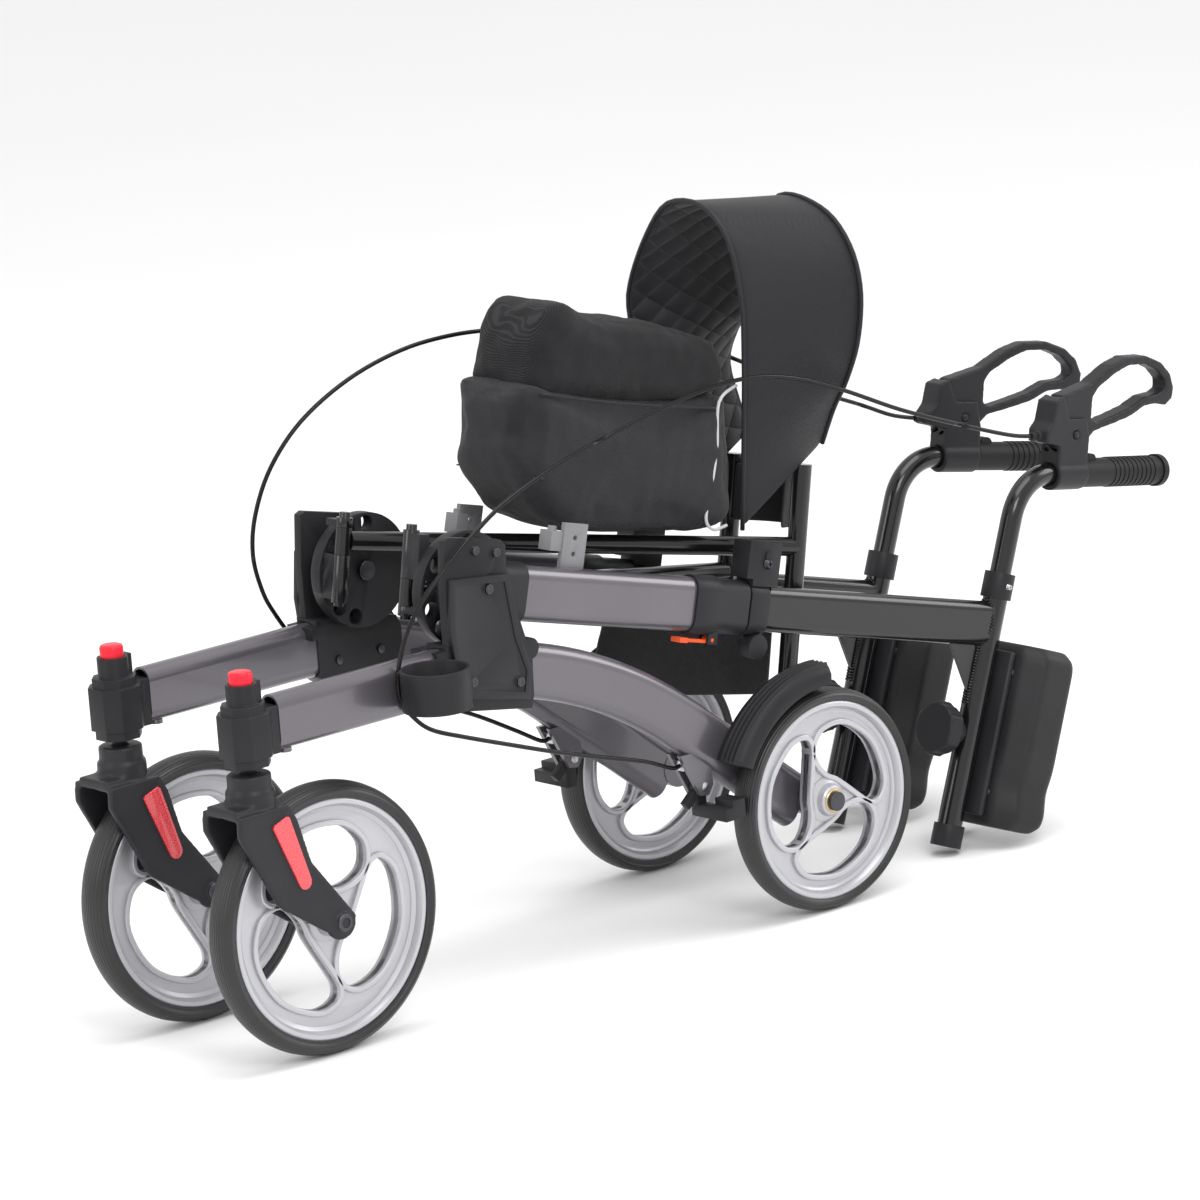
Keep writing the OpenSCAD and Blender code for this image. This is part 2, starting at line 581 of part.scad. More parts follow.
module lever_outline() difference() {
    polygon([
        [-64, 38], [-60, 60], [-54, 92], [-104, 106], [-140, 127], [-166, 136], [-200, 137], [-228, 129],
        [-246, 116], [-255, 100], [-254, 86], [-243, 78], [-225, 80], [-205, 78], [-180, 66], [-150, 58],
        [-116, 50], [-100, 36], [-78, 33]]);
    polygon([
        [-108, 64], [-120, 60], [-150, 68], [-180, 77], [-205, 89], [-228, 92], [-240, 98], [-238, 108],
        [-222, 120], [-200, 127], [-170, 126], [-146, 117], [-116, 100], [-108, 90]]);
}
module brake_lever() {
    color(dark_plastic) at_handle() difference() {
        y_plate(-11, 11) lever_outline();
        translate([lever_x, 0, lever_z]) y_rod(8, -20, 20);
    }
    color(dark_plastic) at_handle() translate([lever_x, 0, lever_z]) {
        y_rod(8, -11, 11);
        y_rod(5, -17, 17);
    }
}

// ---- cross brace ----
brace_angle = atan(2 * post_half / brace_reach);
brace_len = norm([brace_reach, 2 * post_half]);
rail_top = 115;
hub_h = 24;
// One brace bar with its seat rail: layer is 1 for the upper bar, -1 for the lower
module brace_bar(layer) color(black) at_link() difference() {
    union() {
        translate([0, post_half, layer * layer_h]) rotate([0, 0, brace_angle])
            x_rod(brace_d / 2, -brace_len, -post_r + 2);
        translate([0, post_half, layer * layer_h - eye_h / 2]) cylinder(r = post_r, h = eye_h);
        translate([-brace_reach, -post_half, rail_top - rail_len]) cylinder(d = brace_d, h = rail_len);
        translate([-brace_reach / 2, 0, layer * layer_h - hub_h / 2]) cylinder(r = post_r, h = hub_h);
        if (layer > 0) translate([-brace_reach / 2, 0, -layer_h - hub_h / 2 - 4]) {
            cylinder(r = 5, h = 2 * layer_h + 8);
            cylinder(r = 8, h = 3.5);
        }
    }
    translate([0, post_half, -60]) cylinder(r = 5 + pin_gap, h = 120);
    if (layer < 0) translate([-brace_reach / 2, 0, -60]) cylinder(r = 5 + pin_gap, h = 120);
}

// ---- soft parts ----
bag_half = 64;
module bag() color(black) left() y_plate(-bag_half, bag_half) polygon([
    [321, 606], [312, 642], [298, 664], [288, 706], [265, 730], [245, 733], [205, 712], [80, 671],
    [18, 640], [18, 472], [30, 446], [72, 441], [218, 470], [290, 491], [308, 514], [331, 556]]);
// Half of the strap's arch, from its foot to its top, in the YZ plane
strap_half = [[58, 433], [80, 500], [104, 570], [122, 630], [129, 690], [119, 740], [92, 780], [48, 800], [0, 805]];
strap_t = 6;
strap_x0 = -115;
strap_x1 = 14;
module backrest_strap() color(black) left() difference() {
    translate([strap_x0, 0, 0]) rotate([90, 0, 90]) linear_extrude(strap_x1 - strap_x0) polygon([
        each strap_half, for (i = [7:-1:0]) [-strap_half[i][0], strap_half[i][1]],
        for (p = strap_half) [-p[0] + strap_t * (p[0] > 0 ? 1 : 0), p[1] - (p[0] < 100 && p[1] > 600 ? strap_t : 0)],
        for (i = [7:-1:0]) [strap_half[i][0] - strap_t, strap_half[i][1] - (strap_half[i][0] < 100
            && strap_half[i][1] > 600 ? strap_t : 0)]]);
    // The rear edge is cut short, above the seat rails
    translate([strap_x0 - 1, -150, 400]) cube([strap_x1 - strap_x0 - 70, 300, 100]);
}
module seat_sling() color(black) left() at_link() {
    translate([-brace_reach + 14, -40, rail_top - rail_len + 5]) cube([228, 80, 112]);
    translate([-brace_reach + 14, -40, layer_h + 15]) cube([40, 80, 70]);
}

// ---- cup holder ----
cup_x = 562;
cup_z = 359;
cup_wall = 3.5;
module cup_holder() color(dark_plastic) left() difference() {
    union() {
        translate([cup_x, cup_y, cup_z]) cylinder(d = cup_d, h = cup_h);
        translate([490, saddle_y1 + cover_t, cup_z - 4]) cube([cup_x - 490, 8, 24]);
    }
    translate([cup_x, cup_y, cup_z + 3]) cylinder(d = cup_d - 2 * cup_wall, h = cup_h);
    translate([cup_x, cup_y, cup_z - 9]) cylinder(r = 12, h = 20);
}

// ---- the named pieces ----
module left_arch_tube() left() arch_tube();
module right_arch_tube() right() arch_tube();
module left_stem_housing() left() stem_housing();
module right_stem_housing() right() stem_housing();
module left_stem_button() left() stem_button();
module right_stem_button() right() stem_button();
module left_caster_fork() left() caster_fork();
module right_caster_fork() right() caster_fork();
module left_front_rim() left() front_rim();
module right_front_rim() right() front_rim();
module left_front_tyre() left() front_tyre();
module right_front_tyre() right() front_tyre();
module left_rear_rim() left() rear_rim();
module right_rear_rim() right() rear_rim();
module left_rear_tyre() left() rear_tyre();
module right_rear_tyre() right() rear_tyre();
module left_hinge_bracket() left() hinge_bracket();
module right_hinge_bracket() right() hinge_bracket();
module left_hinge_cover() left() hinge_cover();
module right_hinge_cover() right() hinge_cover();
module left_frame_fasteners() left() frame_fasteners();
module right_frame_fasteners() right() frame_fasteners();
module left_fender() left() fender();
module right_fender() right() fender();
module left_brake_arm() left() brake_arm();
module right_brake_arm() right() brake_arm();
module left_upright_fitting() left() upright_fitting(-1);
module right_upright_fitting() right() upright_fitting(1);
module left_outer_tube() left() outer_tube();
module right_outer_tube() right() outer_tube();
module left_tube_collar() left() tube_collar();
module right_tube_collar() right() tube_collar();
module left_height_lever() left() height_lever();
module right_height_lever() right() height_lever();
module left_seat_catch() left() seat_catch();
module right_seat_catch() right() seat_catch();
module left_arm_frame() left() arm_frame();
module right_arm_frame() right() arm_frame();
module left_upright_trim() left() upright_trim();
module right_upright_trim() right() upright_trim();
module left_forearm_pad() left() forearm_pad();
module right_forearm_pad() right() forearm_pad();
module left_pad_knob() left() pad_knob();
module right_pad_knob() right() pad_knob();
module left_handle_tube() left() handle_tube();
module right_handle_tube() right() handle_tube();
module left_grip() left() grip();
module right_grip() right() grip();
module left_brake_housing() left() brake_housing();
module right_brake_housing() right() brake_housing();
module left_brake_lever() left() brake_lever();
module right_brake_lever() right() brake_lever();
module left_cross_bar() left() brace_bar(-1);
module right_cross_bar() right() brace_bar(1);
module left_brake_cable() color(black) left() cord(left_route, cable_d);
module right_brake_cable() color(black) left() cord(right_route, cable_d);

left_arch_tube();
right_arch_tube();
left_stem_housing();
right_stem_housing();
left_stem_button();
right_stem_button();
left_caster_fork();
right_caster_fork();
left_front_rim();
right_front_rim();
left_front_tyre();
right_front_tyre();
left_rear_rim();
right_rear_rim();
left_rear_tyre();
right_rear_tyre();
left_hinge_bracket();
right_hinge_bracket();
left_hinge_cover();
right_hinge_cover();
left_frame_fasteners();
right_frame_fasteners();
left_fender();
right_fender();
left_brake_arm();
right_brake_arm();
left_upright_fitting();
right_upright_fitting();
left_outer_tube();
right_outer_tube();
left_tube_collar();
right_tube_collar();
left_height_lever();
right_height_lever();
left_seat_catch();
right_seat_catch();
left_arm_frame();
right_arm_frame();
left_upright_trim();
right_upright_trim();
left_forearm_pad();
right_forearm_pad();
left_pad_knob();
right_pad_knob();
left_handle_tube();
right_handle_tube();
left_grip();
right_grip();
left_brake_housing();
right_brake_housing();
left_brake_lever();
right_brake_lever();
left_cross_bar();
right_cross_bar();
left_brake_cable();
right_brake_cable();
cup_holder();
bag();
backrest_strap();
seat_sling();
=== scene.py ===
import bpy
import bmesh
import json
import math
from mathutils import Matrix, Vector, noise

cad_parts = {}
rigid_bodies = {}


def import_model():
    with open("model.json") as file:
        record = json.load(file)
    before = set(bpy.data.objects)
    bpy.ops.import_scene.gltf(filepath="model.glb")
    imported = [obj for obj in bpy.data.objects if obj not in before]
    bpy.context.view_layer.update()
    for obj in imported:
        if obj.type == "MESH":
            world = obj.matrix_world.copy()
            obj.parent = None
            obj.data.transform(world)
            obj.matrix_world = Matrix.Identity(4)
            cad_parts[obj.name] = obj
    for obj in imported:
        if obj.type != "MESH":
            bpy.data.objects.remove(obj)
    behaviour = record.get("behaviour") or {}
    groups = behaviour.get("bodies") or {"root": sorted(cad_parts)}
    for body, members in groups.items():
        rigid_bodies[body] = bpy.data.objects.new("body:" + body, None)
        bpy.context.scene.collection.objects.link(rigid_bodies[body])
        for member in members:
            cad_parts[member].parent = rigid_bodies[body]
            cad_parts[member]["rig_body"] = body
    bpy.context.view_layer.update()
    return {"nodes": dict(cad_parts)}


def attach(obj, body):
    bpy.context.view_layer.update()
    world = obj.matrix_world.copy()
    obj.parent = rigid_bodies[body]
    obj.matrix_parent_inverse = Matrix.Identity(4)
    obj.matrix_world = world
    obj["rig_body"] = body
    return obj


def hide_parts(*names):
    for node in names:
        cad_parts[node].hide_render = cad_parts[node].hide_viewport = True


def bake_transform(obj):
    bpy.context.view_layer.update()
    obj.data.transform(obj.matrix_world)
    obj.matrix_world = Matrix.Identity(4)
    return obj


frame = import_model()
nodes = frame["nodes"]
sides = ("left", "right")
scene = bpy.context.scene
print("stage: frame loaded")


# ---- camera -------------------------------------------------------------
cameraSet = {"azimuth": 139.58, "elevation": 13.25, "roll": -4.39, "distance": 8.766, "lens": 235.1,
             "lookAt": (0.0836, -0.01575, 0.3766)}


def addCamera(c):
    a, e, r = (math.radians(c[k]) for k in ("azimuth", "elevation", "roll"))
    back = Vector((math.sin(a) * math.cos(e), -math.cos(a) * math.cos(e), math.sin(e)))
    right = Vector((math.cos(a), math.sin(a), 0))
    up = back.cross(right)
    tiltedRight = right * math.cos(r) + up * math.sin(r)
    tiltedUp = up * math.cos(r) - right * math.sin(r)
    turn = Matrix((tiltedRight, tiltedUp, back)).transposed().to_4x4()
    data = bpy.data.cameras.new("camera")
    data.lens = c["lens"]
    data.sensor_width = 36
    data.clip_end = 60
    cam = bpy.data.objects.new("camera", data)
    scene.collection.objects.link(cam)
    cam.matrix_world = Matrix.Translation(Vector(c["lookAt"]) + back * c["distance"]) @ turn
    scene.camera = cam


addCamera(cameraSet)


# ---- shader maths -------------------------------------------------------
class Value:
    # a socket that can be used in plain expressions
    def __init__(self, tree, socket):
        self.tree = tree
        self.socket = socket

    def calc(self, operation, *others):
        node = self.tree.nodes.new("ShaderNodeMath")
        node.operation = operation
        for slot, item in zip(node.inputs, others):
            if isinstance(item, Value):
                self.tree.links.new(item.socket, slot)
            else:
                slot.default_value = item
        return Value(self.tree, node.outputs[0])

    def __add__(self, other):
        return self.calc("ADD", self, other)

    def __radd__(self, other):
        return self.calc("ADD", other, self)

    def __sub__(self, other):
        return self.calc("SUBTRACT", self, other)

    def __rsub__(self, other):
        return self.calc("SUBTRACT", other, self)

    def __mul__(self, other):
        return self.calc("MULTIPLY", self, other)

    def __rmul__(self, other):
        return self.calc("MULTIPLY", other, self)

    def __truediv__(self, other):
        return self.calc("DIVIDE", self, other)

    def __pow__(self, other):
        return self.calc("POWER", self, other)

    def sine(self):
        return self.calc("SINE", self)

    def size(self):
        return self.calc("ABSOLUTE", self)

    def over(self, level):
        return self.calc("GREATER_THAN", self, level)


class Finish:
    # one procedural material, built round a single Principled shader
    def __init__(self, name, constants):
        self.material = bpy.data.materials.new(name)
        self.material.use_nodes = True
        self.tree = self.material.node_tree
        self.shader = self.tree.nodes["Principled BSDF"]
        for key, value in constants.items():
            self.shader.inputs[key].default_value = value

    def node(self, kind, settings=None, sockets=None, output=0):
        made = self.tree.nodes.new(kind)
        for key, value in (settings or {}).items():
            if key == "stops":
                made.color_ramp.elements[0].position = value[0][0]
                made.color_ramp.elements[0].color = value[0][1]
                made.color_ramp.elements[1].position = value[-1][0]
                made.color_ramp.elements[1].color = value[-1][1]
            else:
                setattr(made, key, value)
        for key, value in (sockets or {}).items():
            if isinstance(value, Value):
                self.tree.links.new(value.socket, made.inputs[key])
            else:
                made.inputs[key].default_value = value
        return Value(self.tree, made.outputs[output])

    def place(self):
        return self.node("ShaderNodeTexCoord", output=3)

    def axes(self):
        point = self.place()
        return [self.node("ShaderNodeSeparateXYZ", sockets={0: point}, output=i) for i in range(3)]

    def grain(self, scale, detail=3.0, rough=0.5):
        return self.node("ShaderNodeTexNoise", {"noise_dimensions": "3D"},
                         {"Vector": self.place(), "Scale": scale, "Detail": detail, "Roughness": rough})

    def blendColours(self, mask, first, second):
        return self.node("ShaderNodeMix", {"data_type": "RGBA"},
                         {0: mask, 6: (*first, 1), 7: (*second, 1)}, 2)

    def relief(self, height, depth, strength=1.0):
        return self.node("ShaderNodeBump", {}, {"Height": height, "Distance": depth, "Strength": strength})

    def drive(self, key, value):
        self.tree.links.new(value.socket, self.shader.inputs[key])


def moulded(name, dark, light, roughness, grainScale, depth):
    f = Finish(name, {"Specular IOR Level": 0.22})
    cloud = f.grain(14, 3)
    fine = f.grain(grainScale, 2)
    f.drive("Base Color", f.blendColours(cloud, dark, light))
    f.drive("Roughness", roughness - 0.05 + cloud * 0.08 + fine * 0.06)
    f.drive("Normal", f.relief(fine, depth, 0.5))
    return f.material


def painted(name, dark, light, metallic, roughness, coat):
    f = Finish(name, {"Metallic": metallic, "Coat Weight": coat, "Coat Roughness": 0.1,
                      "Specular IOR Level": 0.35})
    flake = f.grain(2600, 1)
    cloud = f.grain(9, 2)
    f.drive("Base Color", f.blendColours(flake * 0.7 + cloud * 0.3, dark, light))
    f.drive("Roughness", roughness - 0.04 + flake * 0.06 + cloud * 0.05)
    f.drive("Normal", f.relief(f.grain(240, 2), 0.00004, 0.4))
    return f.material


def tyreRubber(name, grooves, depth):
    f = Finish(name, {"Specular IOR Level": 0.5})
    across = f.axes()[1]
    line = (across * (2 * math.pi * grooves)).sine().size() ** 0.35
    dust = f.grain(30, 4)
    f.drive("Base Color", f.blendColours(dust, (0.007, 0.007, 0.008), (0.02, 0.02, 0.021)))
    f.drive("Roughness", 0.3 + dust * 0.16)
    f.drive("Normal", f.relief(line, depth, 0.8))
    return f.material


def woven(name, dark, light, pitch, depth, roughness, sheen):
    # threads run along the piece's own axes; which pair shows depends on the way the cloth faces
    f = Finish(name, {"Sheen Weight": sheen, "Sheen Roughness": 0.4, "Specular IOR Level": 0.3})
    x, y, z = [(a * (2 * math.pi / pitch)).sine() for a in f.axes()]
    facing = f.node("ShaderNodeNewGeometry", output=1)
    nx, ny, nz = [f.node("ShaderNodeSeparateXYZ", sockets={0: facing}, output=i) for i in range(3)]
    threads = x * z * (ny * ny) + x * y * (nz * nz) + y * z * (nx * nx)
    cloud = f.grain(11, 4)
    f.drive("Base Color", f.blendColours(threads * 0.3 + cloud * 0.7, dark, light))
    f.drive("Roughness", roughness + cloud * 0.12)
    f.drive("Normal", f.relief(threads * 0.6 + f.grain(60, 3) * 1.4, depth, 0.7))
    return f.material


def netCloth(name, pitch):
    f = Finish(name, {"Sheen Weight": 0.05, "Specular IOR Level": 0.15})
    x, y, z = f.axes()
    one = ((x + z) * (2 * math.pi / pitch)).sine().size()
    two = ((x - z + y * 0.5) * (2 * math.pi / pitch)).sine().size()
    holes = (one * two).over(0.42)
    f.drive("Base Color", f.blendColours(holes, (0.022, 0.022, 0.024), (0.003, 0.003, 0.004)))
    f.drive("Roughness", 0.62 + f.grain(20, 3) * 0.2)
    f.drive("Normal", f.relief(one * two, 0.0006, 0.8))
    return f.material


def quilted(name, pitch):
    # stitched diamonds, read from the band's own map so they bend with it
    f = Finish(name, {"Sheen Weight": 0.15, "Specular IOR Level": 0.35})
    spot = f.node("ShaderNodeUVMap", {"uv_map": "cut"})
    u = f.node("ShaderNodeSeparateXYZ", sockets={0: spot}, output=0)
    v = f.node("ShaderNodeSeparateXYZ", sockets={0: spot}, output=1)
    one = ((u + v) * (math.pi / pitch)).sine().size() ** 0.4
    two = ((u - v) * (math.pi / pitch)).sine().size() ** 0.4
    f.drive("Base Color", f.blendColours(f.grain(12, 4), (0.007, 0.007, 0.009), (0.016, 0.016, 0.019)))
    f.drive("Roughness", 0.5 + f.grain(40, 3) * 0.15)
    f.drive("Normal", f.relief(one * two, 0.004, 0.8))
    return f.material


def metal(name, base, roughness, grainScale):
    f = Finish(name, {"Metallic": 1.0})
    scratch = f.grain(grainScale, 4, 0.6)
    f.drive("Base Color", f.blendColours(scratch, tuple(c * 0.8 for c in base), base))
    f.drive("Roughness", roughness + scratch * 0.18)
    f.drive("Normal", f.relief(scratch, 0.00003, 0.5))
    return f.material


def reflectorRed(name):
    f = Finish(name, {"Coat Weight": 1.0, "Coat Roughness": 0.05, "Specular IOR Level": 0.7})
    x, y, z = f.axes()
    cells = ((x + z) * 1500).sine() * ((x - z) * 1500).sine()
    f.drive("Base Color", f.blendColours(cells * 0.5 + 0.5, (0.55, 0.006, 0.015), (0.9, 0.04, 0.06)))
    f.drive("Roughness", 0.22 + f.grain(80, 2) * 0.1)
    f.drive("Normal", f.relief(cells, 0.0004, 0.8))
    return f.material


finishes = {
    "greyPaint": painted("greyPaint", (0.080, 0.073, 0.083), (0.17, 0.157, 0.178), 0.55, 0.3, 0.6),
    "glossBlack": painted("glossBlack", (0.004, 0.004, 0.005), (0.009, 0.009, 0.010), 0.0, 0.18, 0.35),
    "rimSilver": painted("rimSilver", (0.40, 0.40, 0.42), (0.53, 0.53, 0.56), 0.5, 0.36, 0.3),
    "mattePlastic": moulded("mattePlastic", (0.010, 0.010, 0.011), (0.024, 0.024, 0.027), 0.42, 900, 0.0002),
    "coverPlastic": moulded("coverPlastic", (0.014, 0.014, 0.016), (0.030, 0.030, 0.034), 0.38, 700, 0.0003),
    "padSkin": moulded("padSkin", (0.012, 0.012, 0.013), (0.026, 0.026, 0.028), 0.44, 420, 0.0005),
    "gripRubber": moulded("gripRubber", (0.007, 0.007, 0.008), (0.018, 0.018, 0.019), 0.5, 500, 0.0004),
    "buttonRed": moulded("buttonRed", (0.70, 0.012, 0.03), (0.82, 0.03, 0.05), 0.26, 300, 0.0001),
    "leverOrange": moulded("leverOrange", (0.75, 0.07, 0.02), (0.88, 0.12, 0.03), 0.36, 300, 0.0001),
    "catchGrey": moulded("catchGrey", (0.16, 0.16, 0.17), (0.24, 0.24, 0.25), 0.42, 300, 0.0002),
    "cableJacket": moulded("cableJacket", (0.004, 0.004, 0.004), (0.010, 0.010, 0.010), 0.24, 200, 0.0001),
    "tyreRubber": tyreRubber("tyreRubber", 160, 0.0008),
    "nylon": woven("nylon", (0.008, 0.008, 0.010), (0.019, 0.019, 0.023), 0.0022, 0.0011, 0.55, 0.08),
    "slingCloth": woven("slingCloth", (0.008, 0.008, 0.009), (0.02, 0.02, 0.022), 0.0026, 0.001, 0.68, 0.2),
    "satinCloth": woven("satinCloth", (0.007, 0.007, 0.009), (0.015, 0.015, 0.018),
                        0.0018, 0.0006, 0.4, 0.06),
    "quiltedCloth": quilted("quiltedCloth", 0.034),
    "netCloth": netCloth("netCloth", 0.0042),
    "piping": moulded("piping", (0.42, 0.42, 0.44), (0.6, 0.6, 0.62), 0.5, 300, 0.0003),
    "thread": moulded("thread", (0.03, 0.03, 0.03), (0.06, 0.06, 0.065), 0.6, 300, 0.0002),
    "steel": metal("steel", (0.62, 0.62, 0.64), 0.2, 300),
    "darkSteel": metal("darkSteel", (0.09, 0.09, 0.1), 0.3, 300),
    "brass": metal("brass", (0.62, 0.47, 0.26), 0.26, 300),
    "reflectorRed": reflectorRed("reflectorRed"),
}
print("stage: finishes made")


# ---- places on the object, in metres -----------------------------------
placeSet = {"rearAxleX": -0.097, "middleY": -0.01575, "baseHalf": 0.111, "uprightHalf": 0.098,
            "pivotX": 0.353, "pivotZ": 0.458, "uprightSlope": 14.8, "armReach": 0.799, "armLean": 6.2,
            "linkX": 0.401, "linkZ": 0.482, "linkSlope": 11.0, "stemX": 0.685,
            "frontR": 0.150, "rearR": 0.127, "rearHalf": 0.148, "frontAxleX": 0.601}


def turned(axis, degrees):
    return Matrix.Rotation(math.radians(degrees), 4, axis)


def shifted(x, y, z):
    return Matrix.Translation((x, y, z))


p = placeSet
middle = shifted(0, p["middleY"], 0)
uprightFrame = shifted(p["pivotX"], p["uprightHalf"], p["pivotZ"]) @ turned("Y", -p["uprightSlope"])
armFrame = uprightFrame @ shifted(-p["armReach"], 0, 0) @ turned("Y", -p["armLean"])
linkFrame = shifted(p["linkX"], 0, p["linkZ"]) @ turned("Y", -p["linkSlope"])
flip = Matrix.Scale(-1, 4, (0, 1, 0))  # these frames all count from the middle plane


def fromAxle(x, y, z):
    # millimetres counted forward from the rear axle and sideways from the middle plane
    return Vector((x / 1000 + p["rearAxleX"], y / 1000 + p["middleY"], z / 1000))


# ---- mesh helpers -------------------------------------------------------
def addMesh(name, points, faces, finish, smooth=True):
    mesh = bpy.data.meshes.new(name)
    mesh.from_pydata([tuple(q) for q in points], [], faces)
    mesh.materials.append(finishes[finish])
    obj = bpy.data.objects.new(name, mesh)
    scene.collection.objects.link(obj)
    if smooth:
        mesh.shade_smooth()
    return obj


def bake(obj):
    # turn the modifiers into plain mesh
    graph = bpy.context.evaluated_depsgraph_get()
    fresh = bpy.data.meshes.new_from_object(obj.evaluated_get(graph))
    obj.modifiers.clear()
    old = obj.data
    obj.data = fresh
    bpy.data.meshes.remove(old)
    return obj


def pointOutwards(obj):
    bm = bmesh.new()
    bm.from_mesh(obj.data)
    bmesh.ops.remove_doubles(bm, verts=bm.verts, dist=1e-6)
    bmesh.ops.recalc_face_normals(bm, faces=bm.faces)
    bm.to_mesh(obj.data)
    bm.free()
    return obj


def crease(obj, angle=35):
    obj.data.shade_smooth()
    obj.data.set_sharp_from_angle(angle=math.radians(angle))
    return obj


def placed(obj, matrix, mirrored=False):
    obj.data.transform(middle @ (flip @ matrix if mirrored else matrix))
    if mirrored:
        obj.data.flip_normals()
    return obj


def addModifier(obj, kind, **settings):
    m = obj.modifiers.new(kind.lower(), kind)
    for key, value in settings.items():
        setattr(m, key, value)
    return m


def between(a, b, c, d, t):
    # the point a share t of the way from b to c, on a smooth curve that also passes a and d
    return 0.5 * ((2 * b) + (c - a) * t + (2 * a - 5 * b + 4 * c - d) * t * t
                  + (3 * b - a - 3 * c + d) * t * t * t)


def smoothPath(points, steps):
    # a smooth open curve through the given points
    points = [Vector(q) for q in points]
    out = []
    for i in range(len(points) - 1):
        a, b = points[max(i - 1, 0)], points[i]
        c, d = points[i + 1], points[min(i + 2, len(points) - 1)]
        out += [between(a, b, c, d, k / steps) for k in range(steps)]
    out.append(points[-1])
    return out


def closedCurve(points, steps):
    # a smooth closed outline through (x, z) pairs
    count = len(points)
    wrapped = [Vector((x, z, 0)) for x, z in points]
    out = []
    for i in range(count):
        a, b, c, d = (wrapped[(i + k) % count] for k in (-1, 0, 1, 2))
        out += [between(a, b, c, d, k / steps) for k in range(steps)]
    return out


def band(first, second, count, closed=True):
    # four-sided faces between two rows of points, given the number at which each row starts
    faces = []
    for k in range(count if closed else count - 1):
        m = (k + 1) % count
        faces.append((first + k, first + m, second + m, second + k))
    return faces


def tube(name, path, radius, finish, around=14):
    # a round tube along a path, with flat ends
    count = len(path)
    points, faces = [], []
    normal = None
    for i, q in enumerate(path):
        along = (path[min(i + 1, count - 1)] - path[max(i - 1, 0)]).normalized()
        if normal is None:
            normal = along.orthogonal().normalized()
        normal = (normal - along * normal.dot(along)).normalized()
        other = along.cross(normal)
        for k in range(around):
            a = 2 * math.pi * k / around
            points.append(q + radius * (math.cos(a) * normal + math.sin(a) * other))
    for i in range(count - 1):
        faces += band(i * around, (i + 1) * around, around)
    faces.append(tuple(reversed(range(around))))
    faces.append(tuple((count - 1) * around + k for k in range(around)))
    return pointOutwards(addMesh(name, points, faces, finish))


def lathe(name, profile, finish, around=40):
    # profile is (radius, height) pairs turned about Z
    points, faces = [], []
    for r, h in profile:
        for k in range(around):
            a = 2 * math.pi * k / around
            points.append((r * math.cos(a), r * math.sin(a), h))
    for i in range(len(profile) - 1):
        faces += band(i * around, (i + 1) * around, around)
    faces.append(tuple(reversed(range(around))))
    faces.append(tuple((len(profile) - 1) * around + k for k in range(around)))
    return crease(pointOutwards(addMesh(name, points, faces, finish)), 30)


# ---- the hard pieces: CAD shapes with softened edges --------------------
def softened(node, body, finish, width):
    source = nodes[node]
    bm = bmesh.new()
    bm.from_mesh(source.data)
    bmesh.ops.remove_doubles(bm, verts=bm.verts, dist=2e-6)
    bmesh.ops.dissolve_limit(bm, angle_limit=math.radians(0.6), verts=bm.verts, edges=bm.edges)
    mesh = bpy.data.meshes.new(node + "_soft")
    bm.to_mesh(mesh)
    bm.free()
    mesh.materials.clear()
    mesh.materials.append(finishes[finish])
    mesh.polygons.foreach_set("material_index", [0] * len(mesh.polygons))
    obj = bpy.data.objects.new(node + "_look", mesh)
    scene.collection.objects.link(obj)
    addModifier(obj, "BEVEL", width=width, segments=2, limit_method="ANGLE", angle_limit=math.radians(38),
                use_clamp_overlap=True, miter_outer="MITER_ARC")
    bake(obj)
    crease(obj, 40)
    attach(obj, body)
    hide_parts(node)
    return obj


bodyOf = {n: o["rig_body"] for n, o in nodes.items()}
# finish and bevel of the pieces that keep their crisp shape
softenSet = {
    "hinge_bracket": ("mattePlastic", 0.0014), "stem_housing": ("mattePlastic", 0.0024),
    "hinge_cover": ("coverPlastic", 0.0012), "tube_collar": ("mattePlastic", 0.001),
    "upright_trim": ("mattePlastic", 0.001), "brake_arm": ("mattePlastic", 0.0008),
    "seat_catch": ("catchGrey", 0.0006), "height_lever": ("leverOrange", 0.0008),
    "fender": ("mattePlastic", 0.001), "upright_fitting": ("mattePlastic", 0.001),
    "stem_button": ("buttonRed", 0.003), "frame_fasteners": ("darkSteel", 0.0006)}
looks = {}
for part, (finish, width) in softenSet.items():
    for side in sides:
        node = side + "_" + part
        looks[node] = softened(node, bodyOf[node], finish, width)
# finish, voxel size and smoothing passes of the pieces that are rounded all over
roundSet = {
    "caster_fork": ("coverPlastic", 0.0019, 10), "brake_housing": ("mattePlastic", 0.0015, 7),
    "brake_lever": ("mattePlastic", 0.0015, 16), "pad_knob": ("mattePlastic", 0.0015, 6)}


def rounded(node, body, finish, voxel, passes):
    mesh = nodes[node].data.copy()
    mesh.materials.clear()
    mesh.materials.append(finishes[finish])
    obj = bpy.data.objects.new(node + "_look", mesh)
    scene.collection.objects.link(obj)
    addModifier(obj, "REMESH", mode="VOXEL", voxel_size=voxel, use_smooth_shade=True)
    addModifier(obj, "SMOOTH", factor=0.5, iterations=passes)
    bake(obj)
    obj.data.materials.clear()
    obj.data.materials.append(finishes[finish])
    obj.data.polygons.foreach_set("material_index", [0] * len(obj.data.polygons))
    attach(obj, body)
    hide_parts(node)
    return obj


for part, (finish, voxel, passes) in roundSet.items():
    for side in sides:
        node = side + "_" + part
        looks[node] = rounded(node, bodyOf[node], finish, voxel, passes)
looks["cup_holder"] = softened("cup_holder", "left_frame", "mattePlastic", 0.0008)

